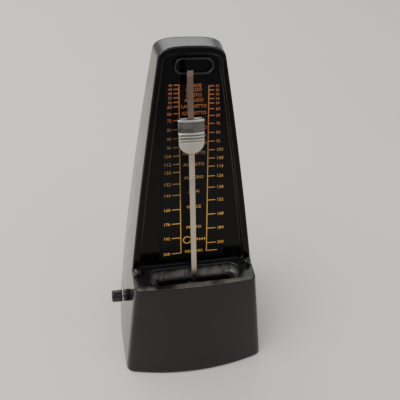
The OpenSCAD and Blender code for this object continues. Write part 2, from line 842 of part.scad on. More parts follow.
// Flat strip from the lower bob to a tip that is bent forward as a finger tab.
module pendulum_rod() {
    bend = 3;
    half = rod_thickness / 2;
    low = -bob_drop - 4;
    knee = rod_reach - bend;
    forward = bend * tan(24);
    color(steel) on_pendulum() difference() {
        translate([-rod_width / 2, 0, 0]) rotate([90, 0, 90]) linear_extrude(rod_width)
            polygon([[half, low], [half, knee], [half - forward, rod_reach],
                     [-half - forward, rod_reach], [-half, knee], [-half, low]]);
        for (w = [-7, 7]) translate([0, 0, w]) staff_rod(-2, 2, 0.8);
        translate([0, 0, -bob_drop]) staff_rod(-2, 2, 1);
    }
}

module lower_bob() {
    fit = 0.05;
    color(dark_steel) on_pendulum() translate([0, 0, -bob_drop]) difference() {
        staff_rod(-bob_front, bob_back, bob_radius);
        translate([-rod_width / 2 - fit, -rod_thickness / 2 - fit, -4 - fit])
            cube([rod_width + 2 * fit, rod_thickness + 2 * fit, bob_radius + 8]);
        staff_rod(-bob_front - 1, bob_back + 1, 1);
    }
}

module bob_rivet() {
    color(steel) on_pendulum() translate([0, 0, -bob_drop])
        staff_rod(-bob_front, bob_back, 1);
}

// Outline of the weight seen from the front: straight sides and a round bottom.
module weight_outline() {
    r = weight_width / 2;
    straight = weight_height - r;
    translate([-r, -straight]) square([weight_width, straight]);
    translate([0, -straight]) circle(r = r, $fn = 96);
}

// Outline of the hollow in the weight's back.
module weight_hollow(inset) {
    r = weight_width / 2 - inset;
    straight = weight_height - weight_width / 2 - inset;
    translate([-r, -straight]) square([2 * r, straight]);
    translate([0, -straight]) circle(r = r, $fn = 96);
}

// Sliding weight: a bowed front with three ribs, hollow behind, with a slot for the rod.
module sliding_weight() {
    slot_x = rod_width / 2 + weight_clearance;
    slot_y = rod_thickness / 2 + weight_clearance;
    bow_radius = 26;
    color(steel) on_pendulum() translate([0, 0, weight_top]) difference() {
        union() {
            intersection() {
                translate([0, weight_back, 0]) rotate([90, 0, 0])
                    linear_extrude(weight_back + weight_front) weight_outline();
                translate([0, bow_radius - weight_front, -weight_height - 1])
                    cylinder(h = weight_height + 2, r = bow_radius, $fn = 96);
            }
            for (i = [0:2]) intersection() {
                translate([0, bow_radius - weight_front - 0.35, -8.9 - 2.6 * i])
                    cylinder(h = 1.3, r = bow_radius, $fn = 96);
                translate([-weight_width / 2, -weight_front - 1, -20])
                    cube([weight_width, weight_front, 20]);
            }
        }
        translate([-slot_x, -slot_y, -weight_height - 1])
            cube([2 * slot_x, 2 * slot_y, weight_height + 2]);
        translate([0, weight_back + 1, -weight_wall]) rotate([90, 0, 0])
            linear_extrude(weight_back + weight_front - weight_face + 1)
            weight_hollow(weight_wall);
    }
}

// Leaf that presses the weight against the rod, let into the sides of the hollow.
module weight_spring() {
    half = weight_width / 2 - weight_wall;
    slot_y = rod_thickness / 2 + weight_clearance;
    color(dark_steel) on_pendulum() translate([-half, slot_y + 0.2, weight_top - 12])
        cube([2 * half, 0.4, 5]);
}

// Selector rod: slides along x and carries the bell hammer. Grooves hold it at each setting.
module selector_rod() {
    right_end = off_x + 17;
    left_end = yoke_x - 1;
    color(steel) difference() {
        rod_x(selector_axis, left_end, right_end - left_end, selector_radius);
        for (n = [0:4]) translate([-plate_outer - 1.6 + n * selector_step, selector_axis[0],
                                   selector_axis[1]])
            rotate([0, 90, 0]) rotate_extrude($fn = 40)
                translate([selector_radius, 0]) circle(r = 0.4, $fn = 24);
    }
}

// Cross piece that joins the selector rod to the rod that is pulled from outside.
module selector_yoke() {
    boss = 3.2;
    color(steel) difference() {
        hull() for (p = [selector_axis, pull_axis]) rod_x(p, yoke_x, yoke_thickness, boss);
        for (p = [selector_axis, pull_axis])
            rod_x(p, yoke_x - 1, yoke_thickness + 2, selector_radius);
    }
}

module pull_rod() {
    left_end = -knob_inner - rod_overlap;
    color(steel) rod_x(pull_axis, left_end, yoke_x + yoke_thickness - left_end, selector_radius);
}

module selector_knob() {
    color(black) difference() {
        rod_x(pull_axis, -control_reach, knob_length, knob_diameter / 2);
        rod_x(pull_axis, -knob_inner - rod_overlap, rod_overlap + 1, selector_radius);
    }
}

module selector_collars() {
    color(brass) for (x = [off_x - 3.8, off_x + 2.1]) difference() {
        rod_x(selector_axis, x, 1.4, 2.6);
        rod_x(selector_axis, x - 1, 4, selector_radius);
    }
}

// Bell hammer: a boss on the selector rod with a tail for the cams and an arm for the head.
module bell_hammer() {
    thickness = 1.6;
    arm_to = [head_y, head_z] - selector_axis;
    color(steel) difference() {
        union() {
            rod_x(selector_axis, off_x - 2, 3.8, 3);
            along_x(selector_axis, off_x - thickness / 2, thickness) {
                rotate(tail_angle) translate([0, -1.3]) square([tail_reach, 2.6]);
                rotate(atan2(arm_to[1], arm_to[0])) translate([0, -1]) square([norm(arm_to), 2]);
            }
        }
        rod_x(selector_axis, off_x - 3, 6, selector_radius + running_clearance);
        rod_x([head_y, head_z], off_x - 3, 6, head_radius);
    }
}

module hammer_head() {
    color(brass) rod_x([head_y, head_z], off_x - 1.8, 3.6, head_radius);
}

// Coil around the hammer's boss that throws the head at the bell.
module hammer_spring() {
    color(dark_steel) for (i = [0:2]) translate([off_x - 1.8 + i * 0.38, selector_axis[0],
                                                 selector_axis[1]])
        rotate([0, 90, 0]) rotate_extrude($fn = 40) translate([3.25, 0]) circle(r = 0.17, $fn = 16);
}

// Leaf on the left plate whose nose rests in a groove of the selector rod.
module detent_spring() {
    color(steel) {
        translate([-plate_outer - 1.85, selector_axis[0] - 1.2,
                   selector_axis[1] + selector_radius - 0.2]) cube([0.5, 2.4, 7]);
        translate([-plate_outer - 1.85, selector_axis[0] - 1.2,
                   selector_axis[1] + selector_radius + 5.8]) cube([1.85, 2.4, 1]);
    }
}

case_shell();
base_plate();
rubber_feet();
base_screws();
scale_plate();
rod_clip();
left_plate();
right_plate();
plate_pillars();
pillar_screws();
mount_brackets();
movement_screws();
pivot_bushes();
front_bridge();
rear_bridge();
bell_bridge();
bell_post();
bell_dome();
bell_screw();
barrel_gear();
barrel_drum();
barrel_cover();
mainspring();
barrel_arbor();
ratchet_wheel();
click();
click_screw();
click_spring();
click_spring_screw();
winding_key();
centre_arbor();
centre_wheel();
centre_pinion();
escape_arbor();
escape_pinion();
escape_wheel();
bell_cams();
pendulum_staff();
pallets();
rod_hub();
pendulum_rod();
hub_rivets();
lower_bob();
bob_rivet();
sliding_weight();
weight_spring();
selector_rod();
selector_yoke();
pull_rod();
selector_knob();
selector_collars();
bell_hammer();
hammer_head();
hammer_spring();
detent_spring();
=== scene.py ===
"""Mechanical metronome: the visible surfaces and finishes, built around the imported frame."""
import json
from math import cos, pi, radians, sin, sqrt, tan

import bmesh
import bpy
import numpy as np
from mathutils import Matrix, Vector

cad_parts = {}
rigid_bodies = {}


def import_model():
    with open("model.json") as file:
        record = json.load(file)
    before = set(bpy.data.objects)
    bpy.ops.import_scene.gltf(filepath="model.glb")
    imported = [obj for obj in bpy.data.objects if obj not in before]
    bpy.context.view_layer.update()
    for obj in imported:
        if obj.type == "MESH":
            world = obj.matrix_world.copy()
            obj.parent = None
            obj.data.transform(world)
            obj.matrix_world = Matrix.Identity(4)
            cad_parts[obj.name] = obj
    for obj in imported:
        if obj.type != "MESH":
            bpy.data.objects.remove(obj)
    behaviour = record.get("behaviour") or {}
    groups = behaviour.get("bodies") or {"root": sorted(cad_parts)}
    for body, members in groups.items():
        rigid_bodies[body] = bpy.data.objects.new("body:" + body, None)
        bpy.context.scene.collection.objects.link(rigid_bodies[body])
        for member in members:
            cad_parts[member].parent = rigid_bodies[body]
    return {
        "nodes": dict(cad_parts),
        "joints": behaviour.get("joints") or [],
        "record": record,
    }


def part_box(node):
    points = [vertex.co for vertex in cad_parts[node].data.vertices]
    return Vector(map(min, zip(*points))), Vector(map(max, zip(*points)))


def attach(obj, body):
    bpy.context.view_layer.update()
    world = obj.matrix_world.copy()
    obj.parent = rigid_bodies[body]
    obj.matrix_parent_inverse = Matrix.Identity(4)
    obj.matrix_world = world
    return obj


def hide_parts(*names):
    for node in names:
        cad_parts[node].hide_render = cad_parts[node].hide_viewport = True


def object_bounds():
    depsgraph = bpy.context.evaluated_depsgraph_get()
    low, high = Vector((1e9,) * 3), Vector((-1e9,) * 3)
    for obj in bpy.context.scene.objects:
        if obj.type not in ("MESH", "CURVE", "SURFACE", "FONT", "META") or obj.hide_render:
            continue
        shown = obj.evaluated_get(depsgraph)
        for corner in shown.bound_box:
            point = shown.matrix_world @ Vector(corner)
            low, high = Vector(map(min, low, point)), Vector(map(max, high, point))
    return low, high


bl_info = {
    "name": "Metronome",
    "version": (1, 0, 0),
    "blender": (4, 5, 0),
    "location": "3D Viewport > Sidebar > Metronome",
    "description": "Adds a wind-up metronome with its case, scale, rod, weight and movement",
    "category": "Add Mesh",
}

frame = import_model()
CAD_BOX = [list(map(float, corner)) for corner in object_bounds()]
MM = 0.001
HINGE = next(j for j in frame["joints"] if j["name"] == "pendulum_swing")
SLIDE = next(j for j in frame["joints"] if j["name"] == "weight_slide")


# ---------------------------------------------------------------- properties

def length(name, text, default, low=0.0, high=1.0):
    """A distance property in metres."""
    return bpy.props.FloatProperty(name=name, description=text, default=default, min=low, max=high,
                                   unit="LENGTH", subtype="DISTANCE", precision=4)


def tint(name, text, default):
    """A colour property without alpha."""
    return bpy.props.FloatVectorProperty(name=name, description=text, default=default, size=3,
                                         min=0.0, max=1.0, subtype="COLOR")


class MetronomeSizes(bpy.types.PropertyGroup):
    """Sizes that a user would change."""
    base_width: length("Base width", "Width across the front corners at the bottom", 0.1008)
    base_depth: length("Base depth", "Depth between the front and back corners", 0.0997)
    ledge_height: length("Ledge height", "Height of the ledge above the surface", 0.076)
    ledge_width: length("Ledge width", "Width across the front corners at the ledge", 0.0821)
    shoulder_width: length("Shoulder width", "Width across the front at the shoulders", 0.0398)
    frame_border: length("Frame border", "Width of the frame around the recess, at the ledge", 0.0048)
    recess_depth: length("Recess depth", "Depth of the recess that holds the scale", 0.0039)
    frame_edge: length("Frame edge", "Rounding of the front frame's outer edge", 0.0011)
    ledge_edge: length("Ledge edge", "Rounding of the ledge's front edge", 0.0014)
    back_edge: length("Back edge", "Rounding of the back's edges and of the crown", 0.0045)
    front_corner: length("Front corner", "Rounding of the front's upright corners", 0.0046)
    print_height: length("Print height", "Height of the scale's numbers", 0.0031)
    rod_width: length("Rod width", "Width of the pendulum rod", 0.0035)
    rod_thickness: length("Rod thickness", "Thickness of the pendulum rod", 0.0009)


class MetronomeColours(bpy.types.PropertyGroup):
    """Colours that a user would change."""
    case: tint("Case", "Moulded case", (0.0075, 0.0075, 0.0085))
    # This colour also paints the pale reflection in the well's foot.
    dust: tint("Dust", "Dust that lies on the case", (0.26, 0.235, 0.2))
    plate: tint("Scale plate", "Ground of the scale", (0.004, 0.004, 0.0045))
    print_top: tint("Print, top", "Print at the slow end of the scale", (0.44, 0.135, 0.032))
    print_bottom: tint("Print, bottom", "Print at the fast end of the scale", (0.72, 0.4, 0.06))
    steel: tint("Steel", "Bright steel", (0.6, 0.57, 0.54))
    rod: tint("Rod", "Steel of the rod, slightly tarnished", (0.47, 0.405, 0.33))
    nickel: tint("Nickel", "Plating of the weight", (0.66, 0.63, 0.57))
    brass: tint("Brass", "Plates and wheels", (0.72, 0.5, 0.2))
    floor: tint("Floor", "Pale floor", (0.83, 0.79, 0.72))


# ---------------------------------------------------------------- materials

DULL_IOR = 1.24


def shade(colour, factor):
    """A colour made lighter or darker."""
    return tuple(factor * c for c in colour)


class Value:
    """A number or socket in a material. Arithmetic on it adds Math nodes."""

    def __init__(self, paint, source):
        self.paint = paint
        self.source = source

    def maths(self, operation, *others):
        values = [self.source] + [getattr(o, "source", o) for o in others]
        return self.paint.node("ShaderNodeMath", {"operation": operation}, dict(enumerate(values)))

    def __add__(self, other):
        return self.maths("ADD", other)

    def __sub__(self, other):
        return self.maths("SUBTRACT", other)

    def __mul__(self, other):
        return self.maths("MULTIPLY", other)

    def __rsub__(self, other):
        return Value(self.paint, other).maths("SUBTRACT", self)

    __radd__ = __add__
    __rmul__ = __mul__

    def above(self, low, high):
        """0 below low, 1 above high, smooth between."""
        return self.paint.node("ShaderNodeMapRange", {"interpolation_type": "SMOOTHSTEP"},
                               {"Value": self, "From Min": low, "From Max": high})


class Paint:
    """A material under construction."""

    def __init__(self, name):
        self.material = bpy.data.materials.new(name)
        self.material.use_nodes = True
        self.tree = self.material.node_tree
        self.shader = self.tree.nodes["Principled BSDF"]

    def node(self, kind, settings, inputs, output=0):
        """Adds a node: its settings first, then the values or links of its sockets."""
        made = self.tree.nodes.new(kind)
        for key, value in settings.items():
            if key == "stops":
                for spot, (place, colour) in zip(self.ramp(made, len(value)), value):
                    spot.position = place
                    spot.color = (*colour, 1.0)
            else:
                setattr(made, key, value)
        for key, value in inputs.items():
            self.feed(made.inputs[key], value)
        return Value(self, made.outputs[output])

    @staticmethod
    def ramp(made, count):
        while len(made.color_ramp.elements) < count:
            made.color_ramp.elements.new(0.5)
        return made.color_ramp.elements

    def feed(self, socket, value):
        value = getattr(value, "source", value)
        if isinstance(value, bpy.types.NodeSocket):
            self.tree.links.new(value, socket)
        elif hasattr(value, "__len__") and len(value) == 3 and socket.type == "RGBA":
            socket.default_value = (*value, 1.0)
        else:
            socket.default_value = value

    def set(self, **inputs):
        for key, value in inputs.items():
            self.feed(self.shader.inputs[key.replace("_", " ")], value)
        return self

    @property
    def place(self):
        return self.node("ShaderNodeTexCoord", {}, {}, 3)

    def stretched(self, *scale):
        return self.node("ShaderNodeMapping", {}, {"Vector": self.place, "Scale": scale})

    def noise(self, scale, detail=3.0, rough=0.55, where=None):
        return self.node("ShaderNodeTexNoise", {}, {"Vector": where or self.place, "Scale": scale,
                                                    "Detail": detail, "Roughness": rough})

    def specks(self, scale):
        """Distance to the nearest of many scattered points."""
        return self.node("ShaderNodeTexVoronoi", {}, {"Vector": self.place, "Scale": scale})

    def lint(self, scale, small, large, patches, bare, full):
        """Lint: specks from a small to a large radius, gathered in patches between bare ground
        and full ground."""
        specks = 1.0 - self.specks(scale).above(small, large)
        return specks * self.noise(patches, 2.0).above(bare, full)

    def scratches(self, scale, bare, full, *stretch, detail=3.0):
        """Hairlines: noise drawn out by its stretch, cut off below bare."""
        return self.noise(scale, detail, 0.6, self.stretched(*stretch)).above(bare, full)

    def upward(self):
        """How far the surface faces up, from -1 to 1."""
        normal = self.node("ShaderNodeNewGeometry", {}, {}, 1)
        return self.node("ShaderNodeSeparateXYZ", {}, {"Vector": normal}, 2)

    def along(self, axis):
        """The surface's place along x, y or z."""
        return self.node("ShaderNodeSeparateXYZ", {}, {"Vector": self.place}, axis)

    def height(self):
        return self.along(2)

    def mix(self, factor, first, second):
        made = self.tree.nodes.new("ShaderNodeMix")
        made.data_type = "RGBA"
        for socket, value in zip((made.inputs[0], made.inputs[6], made.inputs[7]),
                                 (factor, first, second)):
            self.feed(socket, value)
        return Value(self, made.outputs[2])

    def bump(self, height, distance, strength):
        return self.node("ShaderNodeBump", {}, {"Height": height, "Distance": distance,
                                                "Strength": strength})


def case_plastic():
    """Glossy black plastic: hairline scratches and lint, dust on the front of the ledge, and the dust
    colour painted in blotches down the hollow sides of the well as a painted reflection."""
    colours = bpy.context.scene.metronome_colours
    ledge = bpy.context.scene.metronome_sizes.ledge_height
    p = Paint("case_plastic")
    cloud = p.noise(42.0, 5.0, 0.62)
    scratch = p.scratches(260.0, 0.60, 0.74, 1.0, 1.0, 0.05)
    cross = p.scratches(210.0, 0.64, 0.76, 0.07, 1.0, 1.0, detail=2.0)
    lint = p.lint(620.0, 0.05, 0.16, 120.0, 0.5, 0.68)
    tall = p.height()
    on_ledge = p.upward().above(0.80, 0.97) * (1.0 - tall.above(ledge + 0.003, ledge + 0.005))
    forward = 1.0 - p.along(1).above(-0.0385, -0.0345)
    settled = on_ledge * forward * cloud.above(0.34, 0.62)
    # The well's sloped foot gets the dust colour in blotches: a painted reflection, not dust.
    low, high = ledge - 0.0057, ledge - 0.0008
    well_reflection = p.upward().above(0.22, 0.5) * tall.above(low, low + 0.0006)
    well_reflection = well_reflection * (1.0 - tall.above(high - 0.0008, high)) * cloud.above(0.2, 0.6)
    blotch = p.noise(260.0, 3.0, 0.6, p.stretched(1.0, 0.5, 0.5)).above(0.4, 0.6)
    # Lint and dust on the ledge, plus the painted reflection in the well.
    dust = lint * 0.2 + settled * 0.5 + well_reflection * (0.25 + 0.75 * blotch) * 0.36
    tone = p.mix(cloud.above(0.35, 0.75), tuple(colours.case), shade(colours.case, 1.7))
    p.set(Base_Color=p.mix(dust, tone, tuple(colours.dust)),
          Roughness=0.15 + 0.08 * cloud + 0.16 * scratch + 0.1 * cross + 0.5 * dust,
          Normal=p.bump(p.noise(900.0, 2.0) * 0.3 + scratch * 0.35 + lint * 0.8, 0.00002, 0.5),
          IOR=1.5)
    return p.material


def base_plastic():
    """Fine satin black plastic of the base's front: rubbed, with faint smears."""
    colours = bpy.context.scene.metronome_colours
    p = Paint("base_plastic")
    smear = p.noise(24.0, 6.0, 0.68, p.stretched(1.0, 1.0, 0.45))
    grain = p.noise(1500.0, 2.0)
    scratch = p.scratches(240.0, 0.6, 0.75, 1.0, 1.0, 0.06)
    lint = p.lint(520.0, 0.04, 0.13, 90.0, 0.5, 0.7)
    p.set(Base_Color=p.mix(lint * 0.25 + smear.above(0.5, 0.8) * 0.03, shade(colours.case, 1.5),
                           tuple(colours.dust)),
          Roughness=0.30 + 0.14 * smear + 0.1 * scratch,
          Normal=p.bump(grain * 0.5 + scratch * 0.4, 0.00002, 0.5), IOR=1.36)
    return p.material


def front_plastic():
    """Black plastic of the leaning front and its recess, a darker and duller copy of the case plastic as
    painted shade, with lint and fine scratches.
    """
    colours = bpy.context.scene.metronome_colours
    p = Paint("front_plastic")
    lint = p.lint(640.0, 0.05, 0.16, 120.0, 0.5, 0.68)
    scratch = p.scratches(240.0, 0.62, 0.76, 1.0, 1.0, 0.05)
    # The case colour darkened to a third: painted shade on the leaning front.
    p.set(Base_Color=p.mix(lint * 0.16, shade(colours.case, 0.35), tuple(colours.dust)),
          Roughness=0.1 + 0.18 * scratch + 0.4 * lint,
          Normal=p.bump(scratch * 0.4 + lint * 0.7, 0.00002, 0.5), IOR=DULL_IOR)
    return p.material


def plate_black():
    """Matt black ground of the scale, with fine speckle."""
    colours = bpy.context.scene.metronome_colours
    p = Paint("plate_black")
    lint = p.lint(700.0, 0.04, 0.15, 150.0, 0.48, 0.66)
    p.set(Base_Color=p.mix(lint * 0.2, tuple(colours.plate), tuple(colours.dust)),
          Roughness=0.3 + 0.14 * p.noise(60.0), IOR=DULL_IOR,
          Normal=p.bump(p.noise(1800.0), 0.00002, 0.4))
    return p.material


def scale_print():
    """Screen print, orange at the slow end and golden yellow at the fast end, a little worn, and
    faded half-way up, most on the left."""
    colours = bpy.context.scene.metronome_colours
    p = Paint("scale_print")
    tall = p.height()
    blend = tall.above(0.135, 0.178)
    leftward = 1.0 - p.along(0).above(-0.004, 0.012)
    faded = tall.above(0.112, 0.13) * (1.0 - tall.above(0.166, 0.182)) * (0.5 + 0.5 * leftward)
    worn = p.noise(520.0, 4.0, 0.7).above(0.56, 0.74) * 0.35 + faded * 0.6
    ink = p.mix(blend, tuple(colours.print_bottom), tuple(colours.print_top))
    p.set(Base_Color=p.mix(worn, ink, tuple(colours.plate)), Roughness=0.46 + 0.1 * worn)
    return p.material


def metal(name, colour, rough, scale, along, grain=0.12, tarnish=0.35):
    """Metal with a drawn or turned grain along one direction and cloudy tarnish."""
    p = Paint(name)
    lines = p.noise(scale, 3.0, 0.6, p.stretched(*along))
    cloud = p.noise(70.0, 4.0, 0.6).above(0.4, 0.72)
    p.set(Base_Color=p.mix(cloud * tarnish, tuple(colour), shade(colour, 0.55)),
          Metallic=1.0, Roughness=rough + grain * lines + 0.1 * cloud,
          Normal=p.bump(lines, 0.00002, 0.35))
    return p.material


def rod_steel():
    """Drawn steel strip, painted darker towards its tip as a painted reflection, with cloudy tarnish."""
    colours = bpy.context.scene.metronome_colours
    p = Paint("rod_steel")
    lines = p.noise(500.0, 3.0, 0.6, p.stretched(1.0, 1.0, 0.03))
    cloud = p.noise(90.0, 4.0, 0.6).above(0.4, 0.72)
    # Darker towards the tip: a painted reflection; the cloud part is tarnish.
    tip_reflection_and_tarnish = p.height().above(0.15, 0.19) * 0.85 + cloud * 0.15
    p.set(Base_Color=p.mix(tip_reflection_and_tarnish, tuple(colours.rod), (0.16, 0.115, 0.095)), Metallic=1.0,
          Roughness=0.26 + 0.14 * lines + 0.08 * cloud, Normal=p.bump(lines, 0.00002, 0.35))
    return p.material


def weight_plating(top):
    """Bright plating of the weight, with a painted dark reflection between its rim and its ribs, painted
    shade in the grooves between the ribs and on the lower face, and a little cloudy tone.
    """
    colours = bpy.context.scene.metronome_colours
    p = Paint("weight_plating")
    lines = p.noise(300.0, 3.0, 0.6, p.stretched(0.06, 1.0, 1.0))
    cloud = p.noise(110.0, 4.0, 0.6).above(0.42, 0.75)
    down = top - p.height()
    rim, ribs, ribs_end, pitch, first_groove = 0.0013, 0.0068, 0.0126, 0.0019139, 0.0087
    # Band between the rim and the ribs darkened: a painted reflection.
    upper_face_reflection = down.above(rim, rim + 0.0006) * (1.0 - down.above(ribs, ribs + 0.001))
    ribbed = down.above(ribs, ribs + 0.001) * (1.0 - down.above(ribs_end, ribs_end + 0.0008))
    wave = p.node("ShaderNodeMath", {"operation": "SINE"},
                  {0: (down - first_groove) * (2 * pi / pitch)})
    # Grooves between the ribs darkened: painted shade.
    groove_shade = ribbed * wave.above(-0.9, 0.1)
    # Lower face darkened: painted shade.
    low_face_shade = down.above(ribs_end + 0.0008, ribs_end + 0.0016) * 0.42
    # The plating is mixed towards a dark colour by the painted reflection and shade.
    p.set(Base_Color=p.mix(upper_face_reflection * (0.76 + 0.2 * cloud) + groove_shade * 0.8 + low_face_shade + cloud * 0.1,
                           tuple(colours.nickel), (0.075, 0.068, 0.058)),
          Metallic=1.0, Roughness=0.15 + 0.1 * lines + 0.08 * cloud,
          Normal=p.bump(lines, 0.00001, 0.3))
    return p.material


def rubber_black():
    """Matt black rubber with a fine grain."""
    p = Paint("rubber_black")
    grain = p.noise(1400.0, 3.0)
    p.set(Base_Color=p.mix(grain, (0.012, 0.012, 0.012), (0.03, 0.03, 0.03)),
          Roughness=0.72 + 0.12 * grain, Normal=p.bump(grain, 0.00004, 0.6))
    return p.material


# ---------------------------------------------------------------- mesh tools

def lattice(rows, columns, start=0, wrap=False):
    """Quads of a grid of rows by columns, whose columns may close into a ring."""
    last = columns if wrap else columns - 1
    r, c = np.meshgrid(np.arange(rows - 1), np.arange(last), indexing="ij")
    n = (c + 1) % columns
    quads = np.stack([r * columns + c, r * columns + n, (r + 1) * columns + n,
                      (r + 1) * columns + c], -1)
    return start + quads.reshape(-1, 4)


def piece(name, grids, material, body, smooth=True):
    """One object from grids of points in millimetres. A grid is (points, wrap)."""
    points, faces, start = [], [], 0
    for grid, wrap in grids:
        rows, columns = grid.shape[:2]
        points.append(grid.reshape(-1, 3))
        faces.append(lattice(rows, columns, start, wrap))
        start += rows * columns
    mesh = bpy.data.meshes.new(name)
    mesh.from_pydata((np.concatenate(points) * MM).tolist(), [], np.concatenate(faces).tolist())
    work = bmesh.new()
    work.from_mesh(mesh)
    bmesh.ops.remove_doubles(work, verts=work.verts, dist=2e-6)
    bmesh.ops.dissolve_degenerate(work, edges=work.edges, dist=1e-6)
    bmesh.ops.recalc_face_normals(work, faces=work.faces)
    work.to_mesh(mesh)
    work.free()
    mesh.polygons.foreach_set("use_smooth", np.full(len(mesh.polygons), smooth))
    mesh.materials.append(material)
    made = bpy.data.objects.new(name, mesh)
    bpy.context.scene.collection.objects.link(made)
    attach(made, body)
    return made


def read_vectors(items, key):
    """One vector of each item of a mesh, as rows."""
    flat = np.empty(len(items) * 3)
    items.foreach_get(key, flat)
    return flat.reshape(-1, 3)


def weighted(made):
    """Lets large faces keep flat shading beside their rounded edges."""
    made.modifiers.new("normals", "WEIGHTED_NORMAL").weight = 60
    return made


def mirrored(grid):
    """The same grid on the other side of the middle plane."""
    return grid * np.array([-1.0, 1.0, 1.0])


def bezier(first, corner, last, count):
    """Round from first to last that starts and ends along the lines to the corner."""
    t = np.linspace(0, 1, count).reshape(-1, *([1] * np.ndim(first)))
    return (1 - t) ** 2 * first + 2 * t * (1 - t) * corner + t ** 2 * last


def lathe(profile, count, origin, axis):
    """Turned surface: each (distance along the axis, radius) circles round the axis."""
    profile = np.asarray(profile, float)
    angle = np.linspace(0, 2 * pi, count, endpoint=False)
    axis = Vector(axis).normalized()
    side = axis.orthogonal().normalized()
    ring = (np.cos(angle)[:, None] * np.array(side)
            + np.sin(angle)[:, None] * np.array(axis.cross(side)))
    return (np.array(origin) + profile[:, :1, None] * np.array(axis)
            + profile[:, 1:2, None] * ring)


def carried(turn, origin, grid):
    """Takes local points (x, y, z) through a turn and to an origin."""
    return grid @ np.array(turn).T + np.array(origin)


def sweep(loop, section, turn, origin):
    """Closed section carried round a flat loop in x and z: its first number goes outwards from
    the loop and its second along y."""
    ahead = np.roll(loop, -1, 0) - np.roll(loop, 1, 0)
    outward = np.stack([ahead[:, 1], -ahead[:, 0]], -1)
    outward /= np.linalg.norm(outward, axis=1)[:, None]
    flat = loop[:, None] + section[None, :, :1] * outward[:, None]
    depth = np.broadcast_to(section[None, :, 1], flat.shape[:2])
    grid = np.stack([flat[..., 0], depth, flat[..., 1]], -1)
    return carried(turn, origin, np.concatenate([grid, grid[:1]]))


def stadium(half_length, half_height, count, middle=0.0):
    """Closed loop of two straights and two half circles, counter-clockwise."""
    a = np.linspace(-pi / 2, pi / 2, count)
    reach = half_length - half_height
    right = np.stack([reach + half_height * np.cos(a), middle + half_height * np.sin(a)], -1)
    left = np.stack([-right[::-1, 0], right[::-1, 1]], -1)
    return np.concatenate([right, left])


def rounded_section(width, depth, radius, count=5):
    """Closed rounded rectangle about the origin."""
    a = np.linspace(0, pi / 2, count)
    corner = radius * np.stack([np.cos(a), np.sin(a)], -1)
    w, d = width / 2 - radius, depth / 2 - radius
    quarter = [corner + [w, d], corner[::-1] * [-1, 1] + [-w, d], -corner + [-w, -d],
               corner[::-1] * [1, -1] + [w, -d]]
    return np.concatenate(quarter)


# ---------------------------------------------------------------- the case's form

